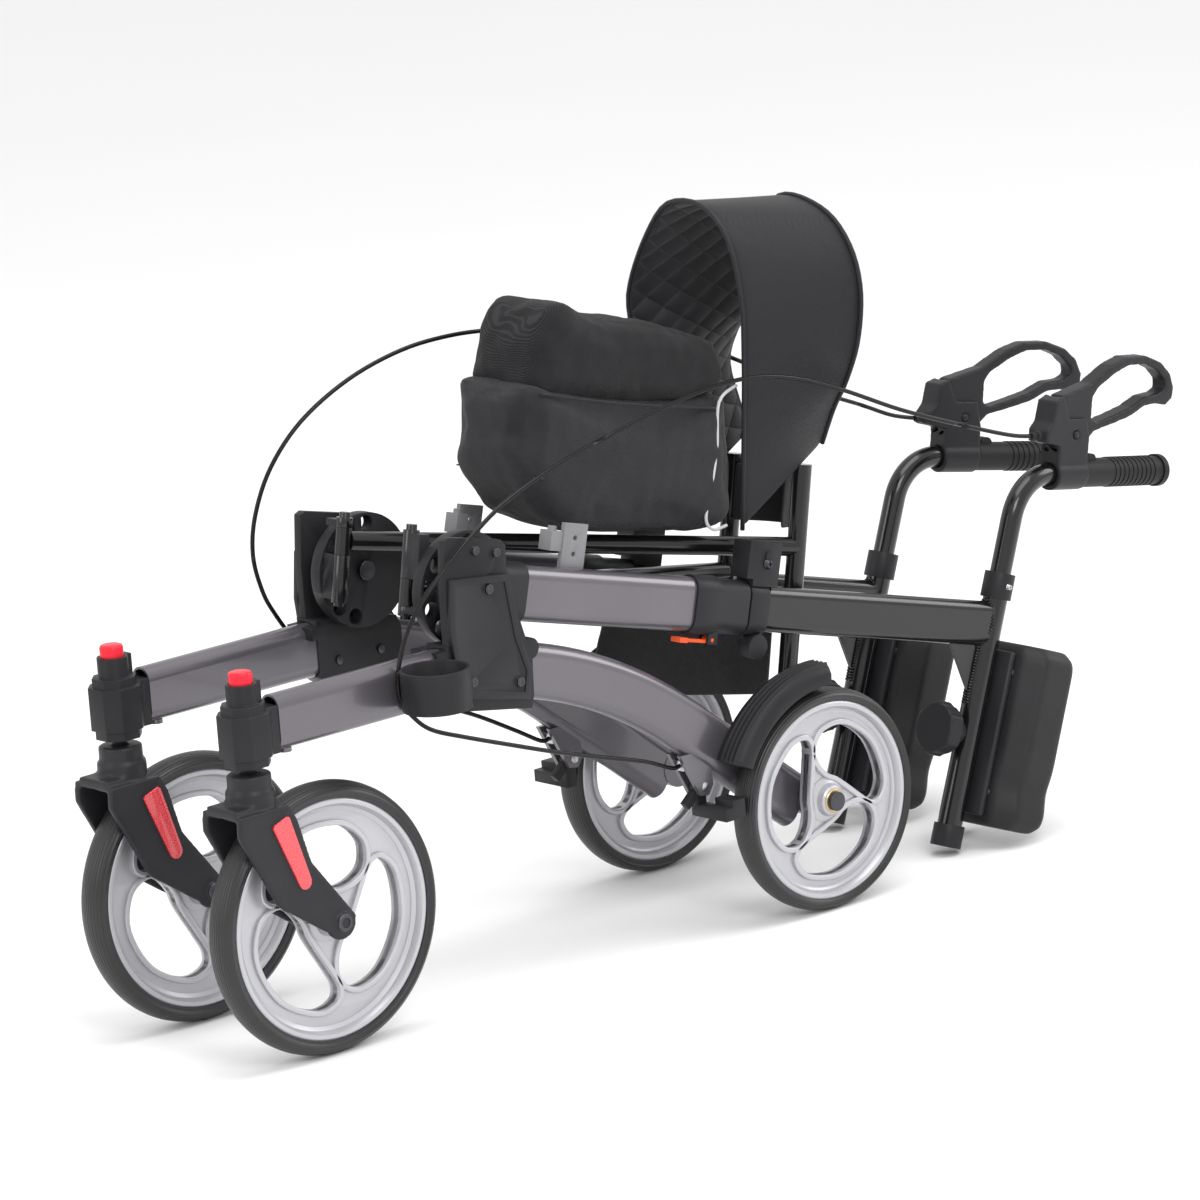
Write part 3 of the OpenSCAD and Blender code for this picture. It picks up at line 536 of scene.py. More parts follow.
# pieces that keep their CAD shape
plainSet = {
    "arch_tube": "greyPaint", "outer_tube": "greyPaint", "arm_frame": "glossBlack",
    "handle_tube": "glossBlack", "cross_bar": "glossBlack", "front_tyre": "tyreRubber",
    "rear_tyre": "tyreRubber", "grip": "gripRubber"}
for part, finish in plainSet.items():
    for side in sides:
        mesh = nodes[side + "_" + part].data
        mesh.materials.clear()
        mesh.materials.append(finishes[finish])
print("stage: hard pieces softened")


def paintWhere(obj, finish, test):
    obj.data.materials.append(finishes[finish])
    index = len(obj.data.materials) - 1
    for face in obj.data.polygons:
        if test(face.center):
            face.material_index = index


def onPost(c):
    # the cross-brace post is the innermost part of the upright fitting
    return abs(c.y - p["middleY"]) < 0.0665


def onBrakePin(c):
    return 0.05 < c.x < 0.09 and c.z < 0.22


for side in sides:
    paintWhere(looks[side + "_upright_fitting"], "glossBlack", onPost)
    paintWhere(looks[side + "_frame_fasteners"], "steel", onBrakePin)


# ---- fork reflectors and axle caps --------------------------------------
reflectorSet = {"out": 0.0329, "x": -0.024, "z": 0.240, "slant": -20, "halfTop": 0.0122, "halfLow": 0.0084,
                "top": 0.042, "low": -0.036, "thick": 0.0034, "corner": 0.004, "proud": 0.0018,
                "cap": ((0.0098, -0.003), (0.0098, 0.0046), (0.0088, 0.0056), (0.0056, 0.0058),
                        (0.0054, 0.003))}


def buildReflector(side, face):
    c = reflectorSet
    loop = []
    radius = c["corner"]
    for edge, start in ((1, 0), (-1, 90)):
        for k in range(5):
            a = math.radians(start + 90 * k / 4)
            loop.append((edge * (c["halfTop"] - radius) + radius * math.cos(a),
                         c["top"] - radius + radius * math.sin(a)))
    for k in range(9):
        a = math.radians(180 + 180 * k / 8)
        loop.append((c["halfLow"] * math.cos(a), c["low"] + c["halfLow"] * math.sin(a)))
    stand = (shifted(p["stemX"] + c["x"], p["baseHalf"] + face * (c["out"] + c["proud"]), c["z"])
             @ turned("Y", -c["slant"]) @ turned("X", 90))
    plate = flatPlate(side + "_reflector", [loop], c["thick"] / 2, 0.0009, "reflectorRed")
    placed(plate, stand, side == "right")
    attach(plate, side + "_caster")
    cap = lathe(side + "_axle_cap", c["cap"], "darkSteel")
    placed(cap, shifted(p["frontAxleX"], p["baseHalf"] + face * c["out"], p["frontR"])
           @ turned("X", -90 if face > 0 else 90), side == "right")
    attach(cap, side + "_caster")


# ---- wheel rims ---------------------------------------------------------
rimSet = {"front": {"radius": 0.132, "half": 0.0145, "hubHalf": 0.023, "first": 35, "turn": 1},
          "rear": {"radius": 0.113, "half": 0.0135, "hubHalf": 0.019, "first": 99, "turn": -1},
          "web": 0.0055, "lip": 0.0095, "border": 0.0065,
          "window": ((0.27, 14), (0.25, 45), (0.30, 80), (0.44, 103), (0.60, 112), (0.71, 108), (0.765, 92),
                     (0.775, 62), (0.765, 32), (0.70, 10), (0.56, -3), (0.40, -3))}


def windowOutline(kind, number, grow):
    # teardrop opening; its blunt end faces one way and its tail follows the rim
    c = rimSet[kind]
    ring = []
    for r, angle in rimSet["window"]:
        swept = angle if c["turn"] < 0 else 112 - angle
        a = math.radians(c["first"] - swept - 120 * number)
        ring.append((-r * c["radius"] * math.cos(a), r * c["radius"] * math.sin(a)))
    smooth = closedCurve(ring, 5)
    count = len(smooth)
    centre = sum(smooth, Vector()) / count
    out = []
    for k, q in enumerate(smooth):
        along = smooth[(k + 1) % count] - smooth[k - 1]
        outward = Vector((along.y, -along.x, 0)).normalized()
        if outward.dot(q - centre) < 0:
            outward = -outward
        out.append(q + outward * grow)
    return out


def flatPlate(name, loops, half, bevel, finish):
    # a plate with holes, rounded along every edge; lies in XY
    data = bpy.data.curves.new(name, "CURVE")
    data.dimensions = "2D"
    data.fill_mode = "BOTH"
    data.extrude = half - bevel
    data.bevel_depth = bevel
    data.bevel_resolution = 2
    data.offset = -bevel
    for loop in loops:
        spline = data.splines.new("POLY")
        spline.points.add(len(loop) - 1)
        for point, q in zip(spline.points, loop):
            point.co = (q[0], q[1], 0, 1)
        spline.use_cyclic_u = True
    holder = bpy.data.objects.new(name + "_curve", data)
    scene.collection.objects.link(holder)
    graph = bpy.context.evaluated_depsgraph_get()
    mesh = bpy.data.meshes.new_from_object(holder.evaluated_get(graph))
    bpy.data.objects.remove(holder)
    mesh.materials.clear()
    mesh.materials.append(finishes[finish])
    obj = bpy.data.objects.new(name, mesh)
    scene.collection.objects.link(obj)
    pointOutwards(obj)
    return crease(obj, 40)


def circleLoop(radius, steps=120):
    return [(radius * math.cos(2 * math.pi * k / steps), radius * math.sin(2 * math.pi * k / steps))
            for k in range(steps)]


def ringLathe(name, profile, finish, around=120):
    # a closed profile turned about Z
    points, faces = [], []
    count = len(profile)
    for k in range(around):
        a = 2 * math.pi * k / around
        for r, h in profile:
            points.append((r * math.cos(a), r * math.sin(a), h))
    for k in range(around):
        n = (k + 1) % around
        for i in range(count):
            j = (i + 1) % count
            faces.append((k * count + i, n * count + i, n * count + j, k * count + j))
    return crease(pointOutwards(addMesh(name, points, faces, finish)), 28)


def buildRim(kind, side, sign):
    c = rimSet[kind]
    r, w = c["radius"], c["half"]
    x = p["frontAxleX"] if kind == "front" else p["rearAxleX"]
    y = p["baseHalf"] if kind == "front" else p["rearHalf"]
    z = p["frontR"] if kind == "front" else p["rearR"]
    stand = shifted(x, y, z) @ turned("X", 90)
    name = side + "_" + kind + "_rim"
    windows = [windowOutline(kind, n, 0) for n in range(3)]
    web = flatPlate(name + "_web", [circleLoop(r * 0.93)] + windows, rimSet["web"], 0.0015, "rimSilver")
    pieces = [web]
    for n in range(3):
        border = windowOutline(kind, n, rimSet["border"])
        pieces.append(flatPlate(name + "_lip", [border, windows[n]], rimSet["lip"], 0.0018, "rimSilver"))
    pieces.append(ringLathe(name + "_barrel", [
        (r, -w), (r, w), (r - 0.002, w + 0.0012), (r - 0.006, w + 0.0008), (r - 0.008, w - 0.002),
        (r - 0.0095, w - 0.006), (r - 0.012, w - 0.0075), (r - 0.014, 0.006), (r - 0.014, -0.006),
        (r - 0.012, 0.0075 - w), (r - 0.0095, 0.006 - w), (r - 0.008, 0.002 - w), (r - 0.006, -w - 0.0008),
        (r - 0.002, -w - 0.0012)], "rimSilver"))
    hub = c["hubHalf"]
    pieces.append(ringLathe(name + "_hub", [
        (0.0064, -hub), (0.0064, hub), (0.015, hub), (0.017, hub - 0.002), (0.019, 0.010), (0.026, 0.0065),
        (0.026, -0.0065), (0.019, -0.010), (0.017, 0.002 - hub), (0.015, -hub)], "rimSilver", 48))
    if kind == "rear":
        pieces.append(ringLathe(name + "_bearing", [
            (0.0068, -hub), (0.0068, -hub - 0.0012), (0.009, -hub - 0.0016), (0.0128, -hub - 0.0016),
            (0.0138, -hub - 0.0006), (0.0138, -hub)], "brass", 48))
    for piece in pieces:
        placed(piece, stand, sign < 0)
        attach(piece, side + "_" + kind + "_wheel")
    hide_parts(name)


for side, sign in (("left", 1), ("right", -1)):
    buildRim("front", side, sign)
    buildRim("rear", side, sign)
    buildReflector(side, 1)
    buildReflector(side, -1)
print("stage: rims made")


# ---- screws and weld beads, laid out by node trees ----------------------
class Pattern:
    # a geometry node tree with a few named inputs
    def __init__(self, name, numbers):
        self.tree = bpy.data.node_groups.new(name, "GeometryNodeTree")
        self.tree.is_modifier = True
        face = self.tree.interface
        face.new_socket("Geometry", in_out="OUTPUT", socket_type="NodeSocketGeometry")
        face.new_socket("Geometry", in_out="INPUT", socket_type="NodeSocketGeometry")
        for label in numbers:
            face.new_socket(label, in_out="INPUT", socket_type="NodeSocketFloat")
        face.new_socket("Finish", in_out="INPUT", socket_type="NodeSocketMaterial")
        self.start = self.tree.nodes.new("NodeGroupInput")
        self.end = self.tree.nodes.new("NodeGroupOutput")

    def given(self, label):
        return Value(self.tree, self.start.outputs[label])

    def node(self, kind, settings=None, sockets=None, output=0):
        made = self.tree.nodes.new(kind)
        for key, value in (settings or {}).items():
            setattr(made, key, value)
        for key, value in (sockets or {}).items():
            for item in value if isinstance(value, list) else [value]:
                if isinstance(item, Value):
                    self.tree.links.new(item.socket, made.inputs[key])
                else:
                    made.inputs[key].default_value = item
        return Value(self.tree, made.outputs[output])

    def vector(self, x, y, z):
        return self.node("ShaderNodeCombineXYZ", {}, {0: x, 1: y, 2: z})

    def close(self, geometry):
        whole = self.node("GeometryNodeRealizeInstances", {}, {0: geometry})
        whole = self.node("GeometryNodeSetMaterial", {},
                          {"Geometry": whole, "Material": self.given("Finish")})
        self.tree.links.new(whole.socket, self.end.inputs[0])
        return self.tree


def screwPattern():
    g = Pattern("crossHeadScrews", ("Radius", "Height"))
    r, h = g.given("Radius"), g.given("Height")
    head = g.node("GeometryNodeMeshCone", {},
                  {"Vertices": 28, "Radius Top": r * 0.66, "Radius Bottom": r, "Depth": h})
    bar = g.node("GeometryNodeMeshCube", {}, {"Size": g.vector(r * 1.05, r * 0.26, h)})
    side = g.node("GeometryNodeMeshCube", {}, {"Size": g.vector(r * 0.26, r * 1.05, h)})
    slots = g.node("GeometryNodeMeshBoolean", {"operation": "UNION"}, {"Mesh 2": [bar, side]})
    cross = g.node("GeometryNodeTransform", {}, {"Geometry": slots, "Translation": g.vector(0.0, 0.0, h)})
    cut = g.node("GeometryNodeMeshBoolean", {"operation": "DIFFERENCE"}, {"Mesh 1": head, "Mesh 2": cross})
    aim = g.node("GeometryNodeInputNamedAttribute", {"data_type": "FLOAT_VECTOR"}, {"Name": "aim"})
    turn = g.node("FunctionNodeAlignRotationToVector", {"axis": "Z"}, {"Vector": aim})
    return g.close(g.node("GeometryNodeInstanceOnPoints", {}, {
        "Points": g.given("Geometry"), "Instance": cut, "Rotation": turn}))


def beadPattern():
    g = Pattern("weldBeads", ("Pitch", "Size"))
    line = g.node("GeometryNodeMeshToCurve", {}, {"Mesh": g.given("Geometry")})
    even = g.node("GeometryNodeResampleCurve", {"mode": "LENGTH"},
                  {"Curve": line, "Length": g.given("Pitch")})
    along = g.node("GeometryNodeInputTangent")
    turn = g.node("FunctionNodeAlignRotationToVector", {"axis": "Z"}, {"Vector": along})
    bead = g.node("GeometryNodeMeshUVSphere", {}, {"Segments": 12, "Rings": 8, "Radius": g.given("Size")})
    size = g.node("FunctionNodeRandomValue", {"data_type": "FLOAT"}, {2: 0.85, 3: 1.1, "Seed": 4}, 1)
    return g.close(g.node("GeometryNodeInstanceOnPoints", {}, {
        "Points": even, "Instance": bead, "Rotation": turn, "Scale": g.vector(size, size, 0.62)}))


screwTree = screwPattern()
beadTree = beadPattern()


def grow(obj, tree, finish, numbers, body, slot):
    m = obj.modifiers.new("pattern", "NODES")
    m.node_group = tree
    for item in tree.interface.items_tree:
        if item.in_out == "INPUT" and item.name in numbers:
            m[item.identifier] = numbers[item.name]
        if item.in_out == "INPUT" and item.name == "Finish":
            m[item.identifier] = finishes[finish]
    bake(obj)
    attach(obj, body)


def addScrews(name, spots, matrix, side, body, radius, height, finish="darkSteel", slot="steel"):
    # spots are (place, direction) pairs in the given frame
    mesh = bpy.data.meshes.new(name)
    mesh.from_pydata([spot for spot, aim in spots], [], [])
    obj = bpy.data.objects.new(name, mesh)
    scene.collection.objects.link(obj)
    layer = mesh.attributes.new("aim", "FLOAT_VECTOR", "POINT")
    whole = middle @ (flip @ matrix if side == "right" else matrix)
    for k, (spot, aim) in enumerate(spots):
        layer.data[k].vector = whole.to_3x3() @ Vector(aim)
    mesh.transform(whole)
    grow(obj, screwTree, finish, {"Radius": radius, "Height": height}, body, slot)


def addBeads(name, path, matrix, side, body, pitch, size, finish="glossBlack", slot="black_paint"):
    mesh = bpy.data.meshes.new(name)
    mesh.from_pydata(path, [(k, k + 1) for k in range(len(path) - 1)], [])
    obj = bpy.data.objects.new(name, mesh)
    scene.collection.objects.link(obj)
    mesh.transform(middle @ (flip @ matrix if side == "right" else matrix))
    grow(obj, beadTree, finish, {"Pitch": pitch, "Size": size}, body, slot)


# screws: places on the hinge cover and bracket in millimetres from the rear axle, the rest in metres
screwSet = {"cover": ((450, 463), (416, 352), (482, 366)), "coverOut": 0.1318,
            "bracket": ((462, 508), (433, 500)), "bracketOut": 0.1278,
            "padIn": -0.023, "padAcross": (-0.026, 0.026), "padDown": (-0.05, -0.19),
            "shank": (0.0, 0.0178, 0.045), "clamp": (-0.424, 0.0155, 0.052)}
weldSet = {"tubeR": 0.0148, "gussetX": 0.0146, "gussetHalf": 0.0026, "gussetTop": -0.022, "gussetStep": 0.008,
           "gussetSteps": 10, "ringAcross": 0.0122, "ringUp": 0.0262, "ringSteps": 40}


def fastenSide(side):
    c = screwSet
    level = shifted(p["rearAxleX"], 0, 0)
    outwards = (0, 1, 0)
    cover = [((x / 1000, c["coverOut"], z / 1000), outwards) for x, z in c["cover"]]
    addScrews(side + "_cover_screws", cover, level, side, side + "_frame", 0.0058, 0.0036)
    bracket = [((x / 1000, c["bracketOut"], z / 1000), outwards) for x, z in c["bracket"]]
    addScrews(side + "_bracket_bolts", bracket, level, side, side + "_frame", 0.0056, 0.0042)
    plate = [((c["padIn"], y, z), (1, 0, 0)) for y in c["padAcross"] for z in c["padDown"]]
    addScrews(side + "_pad_screws", plate, armFrame, side, side + "_arm", 0.0042, 0.003)
    addScrews(side + "_shank_screw", [(c["shank"], outwards)], armFrame, side, side + "_arm",
              0.0042, 0.003, "steel")
    addScrews(side + "_clamp_screw", [(c["clamp"], outwards)], uprightFrame, side, side + "_arm", 0.0062, 0.004)


def weldSide(side):
    # two beads down the gusset and one round the joint of the two tubes
    c = weldSet
    for s in (-1, 1):
        run = [(c["gussetX"], s * c["gussetHalf"], c["gussetTop"] - c["gussetStep"] * k)
               for k in range(c["gussetSteps"])]
        addBeads(side + "_gusset_weld", run, armFrame, side, side + "_arm", 0.0034, 0.0032)
    ring = []
    for k in range(c["ringSteps"] + 1):
        a = 2 * math.pi * k / c["ringSteps"]
        y = c["ringAcross"] * math.cos(a)
        ring.append((math.sqrt(c["tubeR"] ** 2 - y * y), y, c["ringUp"] * math.sin(a)))
    addBeads(side + "_joint_weld", ring, armFrame, side, side + "_arm", 0.0036, 0.0026)


for side in sides:
    fastenSide(side)
    weldSide(side)
print("stage: screws and welds laid")


# ---- brake cables -------------------------------------------------------
# routes in millimetres: forward of the rear axle, left of the middle plane, above the floor
cableSet = {
    "radius": 0.0025, "steps": 6,
    "left": (
        (-406.8, 97.6, 459), (-370, 100, 468), (-294, 101, 495), (-195, 109, 533), (-96, 119, 577),
        (-18, 123, 606), (56, 122, 618), (142, 118, 611), (264, 120, 590), (345, 125, 573),
        (421, 131, 550), (474, 136, 524), (518, 135, 493), (548, 130, 462), (568, 127.5, 431),
        (582, 129.3, 399), (582, 129.3, 368), (568, 131, 346), (548, 136, 328), (506, 139, 311),
        (440, 137, 287), (370, 130, 262), (300, 121, 239), (230, 114, 217), (190, 111, 200), (178, 111, 200)),
    "right": (
        (-406.8, -97.6, 459), (-370, -98, 470), (-321, -96, 492), (-237, -90, 528), (-123, -96, 587),
        (-31, -102, 635), (67, -100, 662), (140, -100, 674), (215, -92, 684), (290, -90, 691),
        (357, -98, 686), (425, -110, 665), (486, -122, 629), (528, -130, 584), (552, -134, 535),
        (558, -137, 490), (548, -139, 448), (533, -140, 419), (508, -140, 384), (466, -140, 344),
        (407, -138, 305), (339, -130, 275), (280, -121, 250), (225, -114, 220), (190, -111, 200),
        (178, -111, 200))}
# each stretch of a cable runs between two numbered points, and either spans two bodies, left unattached, or
# rides on one
cableRuns = {
    "left": (("at_handle", 0, 2, ("left_handle", "left_arm")),
             ("along_arm", 2, 8, ("left_arm", "left_upright")),
             ("over_hinge", 8, 15, ("left_upright", "left_frame")),
             ("on_base", 15, 25, ("left_frame",))),
    "right": (("at_handle", 0, 2, ("right_handle", "right_arm")), ("across", 2, 4, ("right_arm", "left_arm")),
              ("along_arm", 4, 8, ("left_arm", "left_upright")),
              ("over_hinge", 8, 15, ("left_upright", "left_frame")),
              ("on_base", 15, 25, ("left_frame", "right_frame")))}


def cableRun(name, path, first, last, bodies):
    steps = cableSet["steps"]
    obj = tube(name, path[first * steps:last * steps + 1], cableSet["radius"], "cableJacket")
    if len(bodies) == 2:
        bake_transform(obj)
    else:
        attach(obj, bodies[0])
    return obj


def layCable(side):
    path = smoothPath([fromAxle(*q) for q in cableSet[side]], cableSet["steps"])
    runs = [cableRun(side + "_cable_" + label, path, first, last, bodies)
            for label, first, last, bodies in cableRuns[side]]
    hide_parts(side + "_brake_cable")


for side in sides:
    layCable(side)
print("stage: cables laid")


# ---- forearm pads -------------------------------------------------------
padSet = {"armR": 0.0145, "width": 0.128, "depth": 0.088, "length": 0.214, "top": -0.016, "corner": 0.022,
          "troughR": 0.043, "voxel": 0.0034, "smoothing": 9, "plateGap": 0.0085, "plateT": 0.0084,
          "plateW": 0.060, "plateEnd": 0.011, "levels": 22, "waist": 0.075, "waistAt": 0.77}


def padOutline(c, squeeze):
    # the pad cut across: a rounded block with a trough for the forearm
    inner, outer, half = -c["armR"] - c["plateGap"], -c["armR"] - c["depth"], c["width"] / 2
    ring = [(inner, -half + 0.024), (inner - 0.020, -half + 0.002), (outer + 0.016, -half + 0.002),
            (outer + 0.002, -half + 0.016)]
    for k in range(9):
        a = math.radians(-80 + 20 * k)
        ring.append((outer + c["troughR"] * math.cos(a) - 0.004, (c["troughR"] - 0.001) * math.sin(a)))
    ring += [(outer + 0.002, half - 0.016), (outer + 0.016, half - 0.002), (inner - 0.020, half - 0.002),
             (inner, half - 0.024)]
    centre = Vector(((inner + outer) / 2 + 0.012, 0))
    return [centre + (Vector(q) - centre) * squeeze for q in ring]


def buildPad(side):
    c = padSet
    points, faces = [], []
    count = len(padOutline(c, 1))
    for i in range(c["levels"] + 1):
        t = i / c["levels"]
        z = c["top"] - c["length"] * t
        end = min(t, 1 - t) * c["length"] / c["corner"]
        squeeze = 1 if end >= 1 else 1 - 0.20 * (1 - math.sqrt(max(0, 1 - (1 - end) ** 2)))
        waist = 1 - c["waist"] * math.exp(-((t - c["waistAt"]) / c["waist"]) ** 2)
        for x, y in padOutline(c, squeeze):
            points.append((x, y * waist, z))
    for i in range(c["levels"]):
        faces += band(i * count, (i + 1) * count, count)
    faces.append(tuple(range(count)))
    faces.append(tuple(c["levels"] * count + k for k in reversed(range(count))))
    pad = pointOutwards(addMesh(side + "_pad_cushion", points, faces, "padSkin"))
    addModifier(pad, "REMESH", mode="VOXEL", voxel_size=c["voxel"], use_smooth_shade=True)
    addModifier(pad, "SMOOTH", factor=0.5, iterations=c["smoothing"])
    bake(pad)
    placed(pad, armFrame, side == "right")
    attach(pad, side + "_arm")
    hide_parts(side + "_forearm_pad")


def buildPlate(side):
    # the hard backing plate between pad and tube
    c = padSet
    bm = bmesh.new()
    bmesh.ops.create_cube(bm, size=1)
    plate = addMesh(side + "_pad_plate", [], [], "coverPlastic")
    bm.to_mesh(plate.data)
    bm.free()
    plate.data.transform(shifted(-c["armR"] - c["plateT"] / 2, 0, c["top"] - c["length"] / 2)
                         @ Matrix.Diagonal((c["plateT"], c["plateW"], c["length"] - 2 * c["plateEnd"], 1)))
    addModifier(plate, "BEVEL", width=0.003, segments=3)
    bake(plate)
    crease(plate)
    placed(plate, armFrame, side == "right")
    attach(plate, side + "_arm")


for side in sides:
    buildPad(side)
    buildPlate(side)
print("stage: pads made")


# ---- bag ----------------------------------------------------------------
# side outlines in millimetres forward of the rear axle and above the floor
bagSet = {
    "half": 0.062, "edge": 0.012, "crown": 0.004, "voxel": 0.005, "pressure": 4.0, "cap": 0.007,
    "columns": (-1, -0.97, -0.9, -0.8, -0.5, 0, 0.5, 0.8, 0.9, 0.97, 1), "pouchEdge": 0.014, "pouchIn": 0.005,
    "body": ((316, 648), (320, 606), (329, 560), (310, 520), (290, 494), (250, 478), (180, 462), (110, 450),
             (60, 440), (28, 446), (20, 480), (18, 540), (18, 572), (24, 586), (60, 592), (130, 604),
             (219, 627), (270, 643), (300, 652)),
    "pouch": ((300, 640), (296, 676), (284, 706), (268, 726), (250, 733), (222, 720), (180, 700), (120, 683),
              (60, 664), (24, 644), (20, 600), (60, 590), (160, 600), (250, 622)),
    "pipingLine": ((12, 597), (40, 583), (48, 533), (60, 491), (72, 456), (62, 441), (42, 442)),
    "seamLine": ((318, 552), (300, 547), (229, 523), (150, 500), (66, 478)),
    "flapLine": ((300, 643), (270, 634), (219, 619), (130, 596), (46, 577))}


def loftBag(name, outline, half, edge, crown, finish):
    # a shell lofted across the object, its outline drawn in towards rounded, slightly domed ends
    ring = closedCurve(outline, 4)
    count = len(ring)
    centre = sum(ring, Vector()) / count
    columns = bagSet["columns"]
    points, faces = [], []
    for c in columns:
        y = c * half + p["middleY"]
        past = max(0, abs(c) * half - (half - edge)) / edge
        inset = edge * (1 - math.sqrt(max(0, 1 - past * past)))
        for q in ring:
            r = q + (centre - q).normalized() * inset * 1000
            v = fromAxle(r.x, 0, r.y)
            points.append((v.x, y, v.z))
    for j in range(len(columns) - 1):
        faces += band(j * count, (j + 1) * count, count)
    for end, sign in ((0, -1), (len(columns) - 1, 1)):
        base = end * count
        last = base
        mid = fromAxle(centre.x, 0, centre.y)
        for level in (0.75, 0.5, 0.25):
            start = len(points)
            for k in range(count):
                q = Vector(points[base + k])
                heart = Vector((mid.x, q.y, mid.z))
                w = heart + (q - heart) * level
                points.append((w.x, q.y + sign * crown * (1 - level * level), w.z))
            faces += band(last, start, count)
            last = start
        tip = len(points)
        points.append((mid.x, p["middleY"] + sign * (half + crown), mid.z))
        for k in range(count):
            faces.append((last + k, last + (k + 1) % count, tip))
    return pointOutwards(addMesh(name, points, faces, finish))


def puff(obj, voxel, pressure, cap):
    # the cloth swells under pressure; no point may travel further than the cap
    addModifier(obj, "REMESH", mode="VOXEL", voxel_size=voxel, use_smooth_shade=True)
    bake(obj)
    before = [v.co.copy() for v in obj.data.vertices]
    m = addModifier(obj, "CLOTH")
    m.settings.quality = 4
    m.settings.use_pressure = True
    m.settings.uniform_pressure_force = pressure
    m.settings.effector_weights.gravity = 0
    m.collision_settings.use_collision = False
    for f in range(1, 21):
        scene.frame_set(f)
    bake(obj)
    scene.frame_set(1)
    for v, start in zip(obj.data.vertices, before):
        move = v.co - start
        if move.length > cap:
            v.co = start + move.normalized() * cap


def crumple(obj, scale, depth):
    # pushes every point in or out by a smooth noise, as slack cloth creases
    obj.data.update()
    normals = [v.normal.copy() for v in obj.data.vertices]
    for v, n in zip(obj.data.vertices, normals):
        q = v.co * scale
        fold = noise.noise(Vector((q.x * 0.6, q.y * 0.5, q.z * 1.7))) + 0.4 * noise.noise(q * 2.6)
        v.co = v.co + n * depth * fold


def buildBag():
    b = bagSet
    body = loftBag("bag_body", b["body"], b["half"], b["edge"], b["crown"], "nylon")
    pouch = loftBag("bag_pouch", b["pouch"], b["half"] - b["pouchIn"], b["pouchEdge"], 0.0, "netCloth")
    for obj, depth in ((body, 0.0022), (pouch, 0.0045)):
        puff(obj, b["voxel"], b["pressure"], b["cap"] * (0.5 if obj == pouch else 0.6))
        crumple(obj, 22, depth)
        addModifier(obj, "SMOOTH", factor=0.5, iterations=2)
        bake(obj)
        obj.data.shade_smooth()
    return body, pouch


bagBody, bagPouch = buildBag()
bagAcross = {"start": fromAxle(220, 120, 600), "end": fromAxle(220, -120, 600)}


def spanBag(obj):
    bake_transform(obj)


def bagLine(name, side, points, radius, finish, lift=0.003):
    y = side * (bagSet["half"] + lift)
    path = smoothPath([fromAxle(x, y * 1000, z) for x, z in points], 6)
    obj = tube(name, path, radius, finish, 8)
    spanBag(obj)


spanBag(bagBody)
spanBag(bagPouch)
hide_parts("bag")
for label, sign in (("left", 1), ("right", -1)):
    bagLine(label + "_bag_piping", sign, bagSet["pipingLine"], 0.0019, "piping", 0.0035)
    bagLine(label + "_bag_seam", sign, bagSet["seamLine"], 0.0009, "thread", 0.0032)
    bagLine(label + "_bag_flap", sign, bagSet["flapLine"], 0.0016, "nylon", 0.0028)
print("stage: bag made")


# ---- backrest strap -----------------------------------------------------
# both edges in millimetres, left of the middle plane and above the floor
strapSet = {
    "thick": 0.0045, "width": 0.128, "hem": 0.0028, "rows": 60, "across": 9, "frontX": 14, "rearX": -114,
    "front": ((60, 430), (76, 560), (84, 640), (86, 700), (70, 765), (30, 799), (-26, 797), (-66, 758),
              (-100, 700), (-106, 660), (-88, 590), (-70, 520), (-60, 436)),
    "rear": ((62, 505), (86, 549), (110, 583), (134, 632), (144, 690), (132, 738), (98, 774), (40, 790),
             (4, 776), (-22, 720), (-40, 660), (-70, 624), (-88, 585), (-76, 540), (-62, 505))}
strapAcross = {"start": fromAxle(0, 80, 700), "end": fromAxle(0, -80, 700)}


def evenly(points, count):
    # spaces points evenly along a path
    path = smoothPath(points, 10)
    lengths = [0.0]
    for a, b in zip(path, path[1:]):
        lengths.append(lengths[-1] + (b - a).length)
    out, j = [], 0
    for i in range(count):
        want = lengths[-1] * i / (count - 1)
        while j < len(path) - 2 and lengths[j + 1] < want:
            j += 1
        gap = lengths[j + 1] - lengths[j]
        out.append(path[j].lerp(path[j + 1], (want - lengths[j]) / gap if gap else 0))
    return out


def buildStrap():
    c = strapSet
    rows = c["rows"]
    edges = []
    for key, x in (("front", c["frontX"]), ("rear", c["rearX"])):
        edges.append(evenly([fromAxle(x, y, z) for y, z in c[key]], rows + 1))
    points, faces, cut = [], [], []
    run = 0.0
    for i in range(rows + 1):
        if i:
            run += (edges[0][i] - edges[0][i - 1]).length
        for k in range(c["across"]):
            t = k / (c["across"] - 1)
            q = edges[0][i].lerp(edges[1][i], t)
            points.append(q)
            cut.append((run, t * c["width"]))
    for i in range(rows):
        faces += band(i * c["across"], (i + 1) * c["across"], c["across"], closed=False)
    strap = addMesh("backrest_band", points, faces, "satinCloth")
    layer = strap.data.uv_layers.new(name="cut")
    for loop in strap.data.loops:
        layer.data[loop.index].uv = cut[loop.vertex_index]
    strap.data.materials.append(finishes["quiltedCloth"])
    facing = strap.data.polygons[len(faces) // 2].normal.z
    addModifier(strap, "SOLIDIFY", thickness=c["thick"], offset=-1 if facing > 0 else 1,
                material_offset=1, use_even_offset=True)
    addModifier(strap, "SUBSURF", levels=1, render_levels=1)
    bake(strap)
    strap.data.shade_smooth()
    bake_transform(strap)
    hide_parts("backrest_strap")
    length = sum((b - a).length for a, b in zip(edges[0], edges[0][1:]))
    for label, edge in zip(("front", "rear"), edges):
        hem = tube("backrest_hem_" + label, edge, c["hem"], "satinCloth", 10)
        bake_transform(hem)


buildStrap()
print("stage: strap made")


